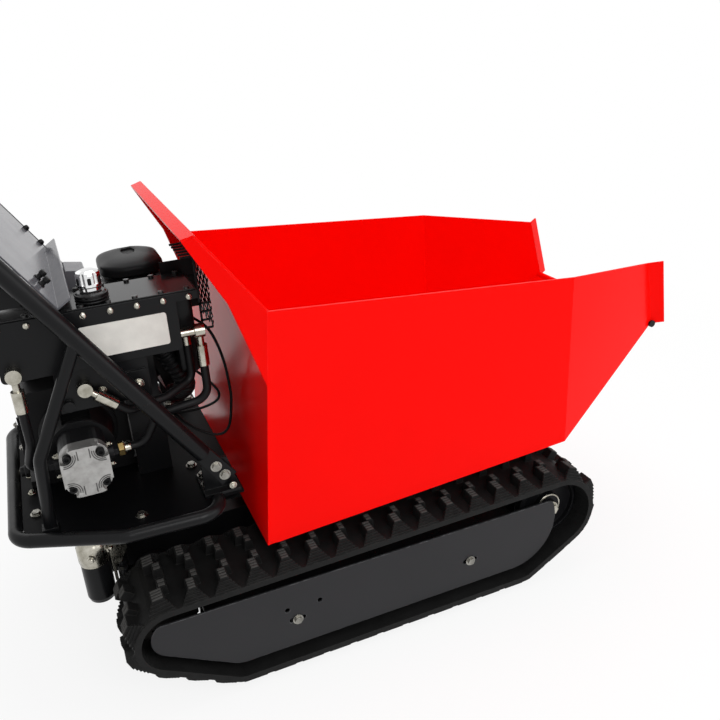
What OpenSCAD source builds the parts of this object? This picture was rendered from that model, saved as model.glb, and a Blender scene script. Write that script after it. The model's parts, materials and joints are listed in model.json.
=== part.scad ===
// Tracked power carrier with a front-tipping sheet-metal hopper.
// X points forward to the hopper's chute, Y to the left, Z up from the ground.

/* [Tracks] */
// Distance between the centre lines of the two tracks
track_gauge = 540; // [520:5:580]
// Width of a rubber belt
track_w = 180; // [170:2:190]
// Nominal pitch of the rubber lugs
lug_pitch = 60; // [56:1:64]
// Thickness of the belt without its lugs
belt_t = 12; // [10:1:14]
// Height of a rubber lug
lug_h = 20; // [14:1:24]
// Length of a lug's foot along the belt
lug_foot = 26; // [22:1:30]
// Length of a lug's top along the belt
lug_top = 17; // [12:1:20]
// How far the inner lug blocks step forward
lug_step = 11; // [6:1:13]
// Height of the drive lugs inside the belt
guide_h = 14; // [8:1:15]
// Height of the upper belt run over the ground, lugs included
track_top = 262; // [255:1:280]
// Forward position of the front idler's axle
idler_x = 397; // [385:1:410]
// Height of the front idler's axle
idler_z = 168; // [165:1:172]
// Radius of the front idler inside the belt
idler_r = 77; // [72:1:80]
// Forward position of the rear sprocket's axle
sprocket_x = -457; // [-470:1:-440]
// Teeth on a drive sprocket
sprocket_teeth = 7; // [7:1:7]
// Radius of a bottom roller's path inside the belt
roller_r = 30; // [28:1:32]
// Horizontal distance from the sprocket to the rear bottom roller
rear_ramp = 122; // [115:1:130]
// Horizontal distance from the idler to the front bottom roller
front_ramp = 90; // [85:1:100]
// Radius of a bottom roller's axle
axle_r = 10; // [8:0.5:11]
// Radius of an idler's axle
idler_axle_r = 12.5; // [10:0.5:14]
// Radius of a drive motor's shaft
shaft_r = 15; // [12:0.5:18]

/* [Side plates] */
// Lower edge of the side plate
plate_z0 = 53; // [50:1:60]
// Upper edge of the side plate
plate_z1 = 203; // [195:1:210]
// Radius of the side plate's round ends
plate_end_r = 110; // [100:1:112]
// Half of the side plate's length
plate_half = 397; // [380:1:400]
// Thickness of the side plate
plate_t = 5; // [4:0.5:8]
// Forward places of the two bolts that hold the plate
plate_bolt_x = [-218, 176];
// Height of those bolts
plate_bolt_z = 116; // [114:1:124]

/* [Chassis] */
// Distance of a chassis rail's inner face from the middle
rail_in = 55; // [54:1:58]
// Width of a chassis rail
rail_w = 40; // [38:1:44]
// Height of the rails' underside
rail_z0 = 170; // [165:1:172]
// Height of the rails' top
rail_z1 = 240; // [236:1:244]
// Forward place of the hopper's tipping axle
tip_x = 430; // [425:1:435]
// Height of the hopper's tipping axle
tip_z = 290; // [286:1:292]
// Radius of the tipping axle's pins
tip_pin_r = 12.5; // [10:0.5:14]
// Forward place of the cylinder's foot pin
foot_x = -290;
// Height of the cylinder's foot pin
foot_z = 150;
// Forward place of the cylinder's rod pin
rod_pin_x = 330;
// Height of the cylinder's rod pin
rod_pin_z = 276;
// Radius of the cylinder's pins
cyl_pin_r = 9; // [8:0.5:10]
// Radius of the cylinder barrel
barrel_r = 30; // [26:1:33]
// Radius of the piston rod
piston_rod_r = 15; // [12:0.5:18]

/* [Hopper] */
// Half of the hopper's outside width
hopper_half = 322; // [315:1:330]
// Thickness of the sheet metal
sheet = 4; // [3:0.5:5]
// Forward place of the rear wall's foot
rear_foot_x = -254; // [-258:1:-250]
// Height of the rear wall's foot
rear_foot_z = 291; // [289:1:296]
// Forward place of the rear wall's top corner
rear_top_x = -206; // [-212:1:-200]
// Height of the rear wall's top corner
rear_top_z = 757; // [740:1:770]
// Forward place of the bend between the side walls and the chute
bend_x = 427; // [424:1:430]
// Height of the side wall's top at that bend
bend_top_z = 704; // [690:1:715]
// Height of the floor at that bend
bend_floor_z = 330; // [328:1:334]
// Angle by which the chute's sides turn inward
chute_turn = 18.4; // [15:0.2:20]
// Forward place of the chute's lip
lip_x = 736; // [725:1:745]
// Height of the chute's lip
lip_z = 510; // [495:1:525]
// Forward place of the chute side's top corner
chute_top_x = 705; // [695:1:715]
// Height of the chute side's top corner
chute_top_z = 663; // [650:1:675]
// Forward place of the hood's upper edge
hood_x = -303; // [-308:1:-298]
// Height of the hood's upper edge
hood_z = 891; // [880:1:900]
// Half of the hood's width at its upper edge
hood_half = 282; // [275:1:288]
// Width of the flange on the chute's front edges
front_flange = 30; // [20:1:34]
// Angle by which that flange turns outward
front_flange_turn = 50; // [40:1:60]
// Width of the flange along the hood's upper edge
hood_flange = 20; // [14:1:24]
// Radius of the round bar along the lip
lip_bar_r = 8; // [6:0.5:9]

/* [Deck and handles] */
// Height of the deck's top face
deck_z = 386; // [384:1:392]
// Thickness of the deck plate
deck_t = 6; // [5:0.5:8]
// Radius of the bumper tube round the deck
bumper_r = 13; // [11:0.5:14]
// Distance of a handle bar from the middle
bar_y = 240; // [236:1:244]
// Radius of a handle bar
bar_r = 16; // [13:0.5:17]
// Slope of the handle bars
bar_slope = 56.7; // [55:0.1:58]
// Height of the bars' bend below the grips
grip_z = 930; // [915:1:945]
// Radius of a brace tube
brace_r = 11; // [9:0.5:12]
// Half of the control panel's width
console_half = 222; // [210:1:222]
// Thickness of the console's sheet
console_t = 3; // [2:0.5:4]

/* [Power unit] */
// Forward place of the engine's crankshaft
crank_x = -540; // [-544:1:-536]
// Height of the engine's crankshaft
crank_z = 493; // [488:1:496]
// Face of the engine that carries the pump housing
engine_y = -60; // [-64:1:-56]
// Face of the pump's end cover
pump_y = -235; // [-238:1:-232]
// Near face of the hydraulic tank
tank_y = -200; // [-204:1:-196]
// Underside of the hydraulic tank
tank_z0 = 672; // [668:1:676]
// Height of the hydraulic tank
tank_h = 105; // [95:1:110]
// Rear end of the hydraulic tank
tank_x0 = -640; // [-645:1:-630]
// Front end of the hydraulic tank
tank_x1 = -335; // [-340:1:-330]
// Depth of the hydraulic tank
tank_d = 125; // [110:1:130]
// Radius of a hydraulic hose
hose_r = 8; // [6:0.5:9]

/* [Hidden] */
$fn = 48;

// Clearances
run_gap = 0.05;
seat_gap = 0.1;
touch_gap = 0.3;
roll_gap = 0.6;
// Overlap that joins pieces of one weldment
weld = 1;

// Painted and bare finishes
red = [0.99, 0.05, 0.01];
black = [0.06, 0.06, 0.065];
gloss_black = [0.03, 0.03, 0.035];
rubber_black = [0.10, 0.10, 0.10];
plate_grey = [0.22, 0.22, 0.24];
panel_grey = [0.55, 0.55, 0.57];
steel = [0.72, 0.72, 0.70];
zinc = [0.70, 0.68, 0.58];
silver = [0.78, 0.78, 0.76];

// Vectors and outlines
function unit(v) = v / norm(v);
function left_of(v) = [-v[1], v[0]];
function meet(p, u, q, v) = p + u * (cross(q - p, v) / cross(u, v));
// Moves every edge of a counter-clockwise convex outline inward by t
function inset(pts, t) = [
  for (i = [0:len(pts) - 1]) let (
    a = pts[(i + len(pts) - 1) % len(pts)], b = pts[i], c = pts[(i + 1) % len(pts)],
    u = unit(b - a), v = unit(c - b)
  ) meet(b + t * left_of(u), u, b + t * left_of(v), v)
];
// Rounds the corners of an open or closed outline, r per corner
function rounded(pts, r, steps = 6) = [
  for (i = [0:len(pts) - 1]) let (
    a = pts[(i + len(pts) - 1) % len(pts)], b = pts[i], c = pts[(i + 1) % len(pts)],
    u = unit(b - a), v = unit(c - b), turn = atan2(cross(u, v), u * v),
    cut = r * tan(abs(turn) / 2), side = turn > 0 ? 1 : -1,
    mid = b - cut * u + side * r * left_of(u)
  ) for (k = [0:steps]) let (
    w = turn * k / steps, arm = -side * r * left_of(u)
  ) mid + [arm[0] * cos(w) - arm[1] * sin(w), arm[0] * sin(w) + arm[1] * cos(w)]
];

// Frames and tubes
module in_frame(o, ax, ay) {
  x = unit(ax);
  z = unit(cross(ax, ay));
  y = cross(z, x);
  multmatrix([[x[0], y[0], z[0], o[0]], [x[1], y[1], z[1], o[1]], [x[2], y[2], z[2], o[2]], [0, 0, 0, 1]])
    children();
}
module rod_between(a, b, r) {
  v = b - a;
  side = abs(v[2]) < 0.9 * norm(v) ? [0, 0, 1] : [1, 0, 0];
  in_frame(a, cross(side, v), cross(v, cross(side, v))) cylinder(r = r, h = norm(v));
}
function bend_cut(p, i, r) = i == 0 || i == len(p) - 1 ? 0
  : let (u = unit(p[i] - p[i - 1]), v = unit(p[i + 1] - p[i])) r * tan(acos(u * v) / 2);
// A round tube along points, with one bend radius and a thin seam where each bend begins and ends
seam = 0.06;
seam_half = 1;
module bent_tube(p, r, bend) {
  for (i = [0:len(p) - 2]) let (
    u = unit(p[i + 1] - p[i]), a = p[i] + u * bend_cut(p, i, bend),
    b = p[i + 1] - u * bend_cut(p, i + 1, bend)
  ) {
    rod_between(a + (i == 0 ? 0 : seam) * u, b - (i == len(p) - 2 ? 0 : seam) * u, r);
    if (i > 0) rod_between(a - seam_half * u, a + seam_half * u, r + seam);
    if (i < len(p) - 2) rod_between(b - seam_half * u, b + seam_half * u, r + seam);
  }
  for (i = [1:len(p) - 2]) let (
    u = unit(p[i] - p[i - 1]), v = unit(p[i + 1] - p[i]), n = unit(v - (u * v) * u),
    start = p[i] - u * bend_cut(p, i, bend)
  ) in_frame(start + n * bend, -n, u) rotate_extrude(angle = acos(u * v)) translate([bend, 0]) circle(r);
}
// A flat piece drawn in X and Z, from y0 to y1
module side_view(y0, y1) {
  translate([0, y1, 0]) rotate([90, 0, 0]) linear_extrude(y1 - y0) children();
}
// A cylinder along Y
module y_rod(x, z, r, y0, y1) {
  translate([x, y0, z]) rotate([-90, 0, 0]) cylinder(r = r, h = y1 - y0);
}
module block(lo, hi) {
  translate(lo) cube(hi - lo);
}
module left() { mirror([0, 1, 0]) children(); }
// Places a right-hand running-gear piece whose own Y is measured inboard from the track's middle
module on_track() { translate([0, -track_gauge / 2, 0]) children(); }

// Belt path: circles in turn from the front roller up and round to the rear roller
wheel_r = sprocket_teeth * lug_pitch / (2 * PI) - belt_t / 2;
wheel_z = track_top - wheel_r - belt_t - lug_h;
roller_z = roller_r + belt_t + lug_h;
front_roller_x = idler_x - front_ramp;
rear_roller_x = sprocket_x + rear_ramp;
path_c = [[front_roller_x, roller_z], [idler_x, idler_z], [sprocket_x, wheel_z], [rear_roller_x, roller_z]];
path_r = [roller_r, idler_r, wheel_r, roller_r];
function leave_angle(i) = let (j = (i + 1) % 4, d = path_c[j] - path_c[i])
  atan2(d[1], d[0]) - 90 + asin((path_r[i] - path_r[j]) / norm(d));
path_end = [leave_angle(0), leave_angle(1), leave_angle(2) + 360, 270];
path_start = [-90, path_end[0], path_end[1], path_end[2]];
cord_h = belt_t / 2;
arc_len = [for (i = [0:3]) (path_end[i] - path_start[i]) * PI / 180 * (path_r[i] + cord_h)];
run_len = [for (i = [0:3]) let (j = (i + 1) % 4)
  sqrt(pow(norm(path_c[j] - path_c[i]), 2) - pow(path_r[j] - path_r[i], 2))];
part_len = [for (i = [0:3]) each [arc_len[i], run_len[i]]];
function sum_to(n) = n == 0 ? 0 : part_len[n - 1] + sum_to(n - 1);
belt_len = sum_to(8);
lug_n = round(belt_len / lug_pitch);
lug_gap = belt_len / lug_n;
function part_of(s, k = 0) = k == 7 || s < sum_to(k + 1) ? k : part_of(s, k + 1);
function wrap(s) = s - belt_len * floor(s / belt_len);
// Point of the belt at length s, h outside its inner face
function belt_at(s, h) = let (
  w = wrap(s), k = part_of(w), i = floor(k / 2), u = w - sum_to(k)
) k % 2 == 0
  ? let (a = path_start[i] + u / (path_r[i] + cord_h) * 180 / PI)
    path_c[i] + (path_r[i] + h) * [cos(a), sin(a)]
  : let (a = path_end[i])
    path_c[i] + (path_r[i] + h) * [cos(a), sin(a)] + u * [-sin(a), cos(a)];
arc_step = 9;
function belt_loop(h) = [
  for (i = [0:3]) let (n = ceil((path_end[i] - path_start[i]) / arc_step))
    for (k = [0:n]) let (a = path_start[i] + (path_end[i] - path_start[i]) * k / n)
      path_c[i] + (path_r[i] + h) * [cos(a), sin(a)]
];
// Lug phase: one lug stands over this forward place on the upper run
lug_mark_x = -47;
lug_zero = sum_to(3) + idler_x - lug_mark_x;
lug_root = 3;
// Lug outline: foot and top lengths along the belt, height, shift forward
module lug_row(foot, top, h, shift) {
  for (i = [0:lug_n - 1]) let (s = lug_zero + i * lug_gap - shift) polygon([
    belt_at(s - foot / 2, belt_t - lug_root), belt_at(s + foot / 2, belt_t - lug_root),
    belt_at(s + top / 2, belt_t + h), belt_at(s - top / 2, belt_t + h)
  ]);
}
wrap_start = sum_to(4);
wrap_end = sum_to(5);
guide_len = 24;
guide_clear = 46;
module guide_row() {
  for (i = [0:lug_n - 1]) let (s = wrap(lug_zero + i * lug_gap))
    if (s < wrap_start - guide_clear || s > wrap_end + guide_clear) polygon([
      belt_at(s + guide_len / 2, lug_root), belt_at(s - guide_len / 2, lug_root),
      belt_at(s - guide_len / 3, -guide_h), belt_at(s + guide_len / 3, -guide_h)
    ]);
}
// Belt sections across the width, as distances from the belt's middle
centre_half = 14.5;
block_step_w = 38;
lug_end_w = 71.5;
// The lug flares out towards the belt's edge in steps
flare_n = 4;
flare_w = 4;
flare_len = 7;
guide_half = 18;
module rubber_track() {
  color(rubber_black) {
    side_view(-track_w / 2, track_w / 2) difference() {
      polygon(belt_loop(belt_t));
      polygon(belt_loop(0));
    }
    for (m = [0, 1]) mirror([0, m, 0]) {
      side_view(centre_half, block_step_w + weld) lug_row(lug_foot - 6, lug_top - 3, lug_h, lug_step);
      side_view(block_step_w, lug_end_w) lug_row(lug_foot, lug_top, lug_h, 0);
      for (k = [1:flare_n]) let (wider = k * flare_len, lower = 1 - k / (flare_n + 1))
        side_view(lug_end_w + (k - 1.2) * flare_w, lug_end_w + k * flare_w)
          lug_row(lug_foot + wider, lug_top + wider, lug_h * lower, 0);
    }
    side_view(-guide_half, guide_half) guide_row();
  }
}

// Wheels inside the belt
rim_in = 24;
rim_out = 45;
wheel_hub_r = 26;
roller_hub_r = 13.5;
module rim_wheel(x, z, r, hub_r, bore_r) {
  translate([x, 0, z]) rotate([-90, 0, 0]) rotate_extrude() polygon([
    [bore_r, -rim_out], [r - 6, -rim_out], [r, -rim_out + 3], [r, -rim_in], [hub_r, -rim_in + 2],
    [hub_r, rim_in - 2], [r, rim_in], [r, rim_out - 3], [r - 6, rim_out], [bore_r, rim_out]
  ]);
}
module idler() {
  color(gloss_black) difference() {
    rim_wheel(idler_x, idler_z, idler_r - roll_gap, wheel_hub_r, idler_axle_r + run_gap);
    for (m = [-1, 1]) translate([idler_x, m * (rim_out + 8), idler_z]) rotate([90, 0, 0])
      rotate_extrude() translate([wheel_hub_r + 4, -20]) square([idler_r - wheel_hub_r - 14, 40]);
  }
}
module roller(x) {
  color(gloss_black) rim_wheel(x, roller_z, roller_r - roll_gap, roller_hub_r, axle_r + run_gap);
}
roller_x = [rear_roller_x, (rear_roller_x + front_roller_x) / 2, front_roller_x];

// Sprocket with its shaft
sprocket_half = 15;
tooth_root_r = 44;
hub_r = 34;
motor_face = 57;
shaft_reach = 40;
tooth_tip = 0.16;
tooth_foot = 0.34;
module sprocket() {
  step = 360 / sprocket_teeth;
  tip_r = wheel_r - roll_gap;
  color(zinc) translate([sprocket_x, 0, wheel_z]) rotate([-90, 0, 0]) {
    translate([0, 0, -sprocket_half]) linear_extrude(2 * sprocket_half) difference() {
      union() {
        circle(tooth_root_r);
        for (i = [0:sprocket_teeth - 1]) rotate(i * step) polygon([
          [tooth_root_r - 3, -tooth_foot * tip_r], [tip_r - 4, -tooth_tip * tip_r - 3],
          [tip_r - 1, -tooth_tip * tip_r], [tip_r - 1, tooth_tip * tip_r],
          [tip_r - 4, tooth_tip * tip_r + 3], [tooth_root_r - 3, tooth_foot * tip_r]
        ]);
      }
      for (i = [0:4]) rotate(i * 72) translate([hub_r + 4, 0]) circle(3.5);
    }
    translate([0, 0, -sprocket_half - 10]) cylinder(r = hub_r - 4, h = motor_face - 2 + sprocket_half + 10);
    cylinder(r = shaft_r, h = motor_face + shaft_reach);
  }
}

// Drive motor on the inboard side; it ends short of the chassis rail
rail_out = rail_in + rail_w;
motor_clear = 17;
flange_half = 46;
flange_r = wheel_r - 3;
flange_t = 12;
motor_r = 47;
motor_end = track_gauge / 2 - rail_out - motor_clear;
tie_bolt_r = 7;
tie_bolt_len = 62;
port_block_w = 22;
port_block_y = [92, 140];
port_block_z = [-26, 30];
port_y = [102, 128];
port_nut_r = 11;
port_nut_h = 14;
port_stub_h = 26;
module drive_motor() {
  color(gloss_black) difference() {
    union() {
      translate([sprocket_x, motor_face, wheel_z]) rotate([-90, 0, 0]) {
        intersection() {
          translate([-flange_half, -flange_half, 0]) cube([2 * flange_half, 2 * flange_half, flange_t]);
          cylinder(r = flange_r, h = flange_t);
        }
        cylinder(r = motor_r, h = motor_end - motor_face - 14);
        rotate_extrude() polygon([
          [0, 0], [motor_r - 4, 0], [motor_r - 4, motor_end - motor_face - 10],
          [motor_r - 14, motor_end - motor_face], [0, motor_end - motor_face]
        ]);
        for (a = [45:90:315]) rotate(a) translate([motor_r - 2, 0, flange_t])
          cylinder(r = tie_bolt_r, h = tie_bolt_len);
      }
      block([sprocket_x - motor_r - port_block_w, port_block_y[0], wheel_z + port_block_z[0]],
        [sprocket_x, port_block_y[1], wheel_z + port_block_z[1]]);
    }
    translate([sprocket_x, motor_face - 1, wheel_z]) rotate([-90, 0, 0])
      cylinder(r = shaft_r + run_gap, h = shaft_reach + 2);
    translate([sprocket_x, motor_face - 1, wheel_z]) rotate([-90, 0, 0]) cylinder(r = hub_r - 2, h = 3);
  }
  color(zinc) for (y = port_y) translate([sprocket_x - motor_r - 10, y, wheel_z + port_block_z[1]]) {
    cylinder(r = port_nut_r, h = port_nut_h, $fn = 6);
    cylinder(r = hose_r, h = port_stub_h);
  }
}

// Track beam with its roller forks, idler fork and motor plate
beam_half = 35;
beam_z0 = 96;
beam_z1 = 172;
beam_x0 = -390;
beam_x1 = 305;
beam_wall = 5;
motor_block = 36;
fork_in = 47;
fork_t = 6;
fork_half = 16;
fork_top = beam_z0 + 22;
arm_half = 17;
arm_x0 = 250;
standoff_r = 14;
plate_in = 70;
module track_beam() {
  color(black) difference() {
    union() {
      difference() {
        block([beam_x0, -beam_half, beam_z0], [beam_x1, beam_half, beam_z1]);
        block([beam_x0 - 1, -beam_half + beam_wall, beam_z0 + beam_wall],
          [beam_x1 + 1, beam_half - beam_wall, beam_z1 - beam_wall]);
      }
      for (m = [0, 1]) mirror([0, m, 0]) {
        for (x = roller_x) {
          block([x - fork_half, beam_half - weld, beam_z0 + 4], [x + fork_half, fork_in + weld, fork_top]);
          side_view(fork_in, fork_in + fork_t) union() {
            translate([x, roller_z]) circle(fork_half);
            translate([x - fork_half, roller_z]) square([2 * fork_half, fork_top - roller_z]);
          }
        }
        block([arm_x0, beam_half - weld, idler_z - arm_half], [beam_x1 - 5, fork_in + weld, beam_z1]);
        side_view(fork_in, fork_in + fork_t + 2) union() {
          translate([arm_x0, idler_z - arm_half]) square([idler_x - arm_x0, 2 * arm_half]);
          translate([idler_x, idler_z]) circle(arm_half);
        }
      }
      block([beam_x0, beam_half - weld, beam_z0 + 10], [beam_x0 + motor_block, fork_in + weld, beam_z1 - 6]);
      side_view(fork_in, motor_face) union() {
        translate([sprocket_x, wheel_z]) circle(wheel_r - 5);
        translate([sprocket_x, fork_top])
          square([beam_x0 + motor_block - sprocket_x, wheel_z + 42 - fork_top]);
      }
      for (x = plate_bolt_x) y_rod(x, plate_bolt_z, standoff_r, -plate_in, -beam_half + weld);
    }
    for (x = roller_x) y_rod(x, roller_z, axle_r + seat_gap, -track_w, track_w);
    y_rod(idler_x, idler_z, idler_axle_r + seat_gap, -track_w, track_w);
    y_rod(sprocket_x, wheel_z, hub_r - 2, fork_in - 1, motor_face + 1);
    for (x = plate_bolt_x)
      y_rod(x, plate_bolt_z, plate_bolt_r + seat_gap, -plate_in - 1, -plate_in + bolt_depth);
  }
}
plate_bolt_r = 5;
bolt_depth = 26;
slot_half = 12;
module side_plate() {
  ends = plate_half - plate_end_r;
  end_z = plate_z0 + plate_end_r;
  color(plate_grey) side_view(-plate_in - plate_t, -plate_in) difference() {
    intersection() {
      union() {
        for (m = [-1, 1]) translate([m * ends - 3, end_z]) circle(plate_end_r, $fn = 96);
        translate([-ends - 3, plate_z0]) square([2 * ends, plate_z1 - plate_z0 + 20]);
      }
      translate([-plate_half - 10, plate_z0 - 5]) square([2 * plate_half + 20, plate_z1 - plate_z0 + 5]);
    }
    for (x = plate_bolt_x) {
      for (d = [-slot_half, slot_half]) translate([x + d, plate_bolt_z]) circle(plate_bolt_r + seat_gap);
      translate([x - slot_half, plate_bolt_z - plate_bolt_r - seat_gap])
        square([2 * slot_half, 2 * (plate_bolt_r + seat_gap)]);
    }
    for (dx = [-19, 49]) translate([plate_bolt_x[0] + dx, plate_bolt_z + 28]) circle(plate_bolt_r);
  }
}
module wheel_axles() {
  roller_reach = fork_in + fork_t + seat_gap;
  idler_reach = fork_in + fork_t + 2 + seat_gap;
  for (m = [0, 1]) mirror([0, m, 0]) on_track() color(steel) {
    for (x = roller_x) {
      y_rod(x, roller_z, axle_r, -roller_reach - 4, roller_reach + 4);
      for (y = [-roller_reach - 4, roller_reach]) y_rod(x, roller_z, axle_r + 4, y, y + 4);
    }
    y_rod(idler_x, idler_z, idler_axle_r, -idler_reach - 4, idler_reach + 4);
    for (y = [-idler_reach - 3, idler_reach]) y_rod(idler_x, idler_z, idler_axle_r + 4, y, y + 3);
    translate([idler_x, -idler_reach - 3, idler_z]) rotate([90, 0, 0])
      cylinder(r = idler_axle_r, h = 8, $fn = 6);
  }
}

// Chassis between the tracks
rail_x0 = -590;
rail_x1 = 452;
cross_half = 20;
cross_x = [-330, 190];
cross_z0 = 120;
ear_t = 12;
ear_r = 24;
post_x = [[-590, -550], [-360, -320]];
outrigger_z0 = 348;
outrigger_half = [215, 262];
foot_ear_in = 17;
foot_ear_t = 10;
foot_ear_r = 18;
module chassis_frame() {
  beam_face = track_gauge / 2 - beam_half;
  deck_under = deck_z - deck_t;
  color(black) difference() {
    union() {
      for (m = [0, 1]) mirror([0, m, 0]) {
        block([rail_x0, rail_in, rail_z0], [rail_x1, rail_out, rail_z1]);
        side_view(rail_out, rail_out + ear_t) union() {
          translate([tip_x, tip_z]) circle(ear_r);
          polygon([[tip_x - 50, rail_z0 + 20], [rail_x1, rail_z0 + 20],
            [tip_x + ear_r, tip_z], [tip_x - ear_r, tip_z]]);
        }
        for (p = post_x) block([p[0], rail_in, rail_z1 - weld], [p[1], rail_out, deck_under]);
      }
      for (x = cross_x)
        block([x - cross_half, -beam_face, cross_z0], [x + cross_half, beam_face, rail_z0 + weld]);
      for (i = [0, 1]) block([post_x[i][0], -outrigger_half[i], outrigger_z0],
        [post_x[i][1], outrigger_half[i], deck_under]);
      block([tip_x - 30, -rail_in - weld, rail_z0], [tip_x - 5, rail_in + weld, rail_z0 + 35]);
      for (m = [0, 1]) mirror([0, m, 0]) side_view(foot_ear_in, foot_ear_in + foot_ear_t) union() {
        translate([foot_x, foot_z]) circle(foot_ear_r);
        translate([cross_x[0] + cross_half - 5, foot_z - foot_ear_r])
          square([foot_x - cross_x[0] - cross_half + 5, 2 * foot_ear_r]);
      }
    }
    for (m = [0, 1]) mirror([0, m, 0])
      y_rod(tip_x, tip_z, tip_pin_r + seat_gap, rail_out - 1, rail_out + ear_t + 1);
    y_rod(foot_x, foot_z, cyl_pin_r + seat_gap, -foot_ear_in - foot_ear_t - 1, foot_ear_in + foot_ear_t + 1);
  }
}
pad_h = 10;
pad_x = [-200, 60];
module rest_pads() {
  for (m = [0, 1]) mirror([0, m, 0]) color(rubber_black) for (x = pad_x)
    block([x - 30, rail_in + 4, rail_z1], [x + 30, rail_out - 4, rail_z1 + pad_h]);
}

// Hopper, welded from folded sheets
floor_slope = atan2(bend_floor_z - rear_foot_z, bend_x - rear_foot_x);
rear_foot = [rear_foot_x, rear_foot_z];
rear_top = [rear_top_x, rear_top_z];
floor_end = [bend_x, bend_floor_z];
rear_v = rear_top - rear_foot;
floor_u = unit(floor_end - rear_foot);
hood_u = unit([hood_x, hood_z] - rear_top);
// How far a sheet's edge runs into the next sheet
tuck = 1.4;
function chute_half(x) = hopper_half - (x - bend_x) * tan(chute_turn);
lip_bar_at = [lip_x - 3, lip_z + 1];
lip_bar_half = chute_half(lip_x) + 4;
plug_t = 5;
plug_wall = 3;
plug_depth = 18;
// A sheet between two lines across the machine: its outer face runs from a to b
module cross_sheet(a, b, half_a, half_b, inside) {
  v = b - a;
  translate([a[0], 0, a[1]]) rotate([0, -atan2(v[1], v[0]), 0])
    translate([0, 0, inside > 0 ? 0 : -sheet]) linear_extrude(sheet)
      polygon([[0, -half_a], [norm(v), -half_b], [norm(v), half_b], [0, half_a]]);
}
// The hood's upper flange starts inside the hood's sheet
hood_root = [hood_x, hood_z] - tuck * hood_u - sheet / 2 * left_of(hood_u);
corner_r = 22;
module side_wall() {
  side_view(-hopper_half, -hopper_half + sheet) difference() {
    polygon([rear_foot, floor_end + tuck / 2 * floor_u, [bend_x + tuck / 2, bend_top_z], rear_top]);
    translate([rear_foot_x, rear_foot_z]) rotate(floor_slope) difference() {
      translate([-corner_r, -corner_r]) square(2 * corner_r);
      translate([corner_r, corner_r]) circle(corner_r);
      translate([corner_r, -corner_r]) square(3 * corner_r);
      translate([-corner_r, corner_r]) square(3 * corner_r);
    }
  }
}
function along_chute(x) = (x - bend_x) / cos(chute_turn);
// The chute's side turns inward about the bend; its front edge carries a flange that turns out again
module chute_side() {
  top = [along_chute(chute_top_x), chute_top_z];
  low = [along_chute(lip_x), lip_z];
  edge = top - low;
  translate([bend_x, -hopper_half, 0]) rotate([0, 0, chute_turn]) {
    side_view(0, sheet) polygon([[0, bend_floor_z], low, top, [0, bend_top_z]]);
    translate([low[0], 0, low[1]]) rotate([0, 90 - atan2(edge[1], edge[0]), 0])
      rotate([0, 0, -front_flange_turn]) translate([-2 * tuck, -tuck / 3, -tuck / 2])
        cube([front_flange + 2 * tuck, sheet, norm(edge)]);
  }
}
// Wing that closes the corner between rear wall and hood, in its own plane:
// first value backward from the fold, second value upward along it
wing_low = 137;
wing_fold = atan2(rear_v[1], rear_v[0]);
wing_turn = 20;
wing_kink = [65, wing_low + 12];
function wing_s(p) = let (d = p - [rear_top_x, rear_top_z], c = cos(wing_fold), s = sin(wing_fold))
  [(-d[0] * s + d[1] * c) / cos(wing_turn), wing_low + d[0] * c + d[1] * s];
module wing() {
  tip = wing_s([hood_x, hood_z]);
  back = wing_s([hood_x - hood_flange, hood_z - 6]);
  foot = [rear_top_x, rear_top_z] - wing_low * unit(rear_v);
  in_frame([foot[0], -hopper_half, foot[1]],
    [-sin(wing_fold) * cos(wing_turn), sin(wing_turn), cos(wing_fold) * cos(wing_turn)],
    [cos(wing_fold), 0, sin(wing_fold)])
    translate([0, 0, -tuck / 4]) linear_extrude(sheet)
      polygon([[-weld, 0], [-weld, wing_low], tip, back, wing_kink, [0, 0]]);
}
bearer_x0 = rear_foot_x + 30;
bearer_in = 60;
bearer_out = 90;
bearer_z = rail_z1 + pad_h + touch_gap;
cheek_in = 20;
cheek_t = 8;
cheek_r = 20;
cheek_root = 40;
function floor_at(x) = rear_foot_z + (x - rear_foot_x) * tan(floor_slope);
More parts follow.
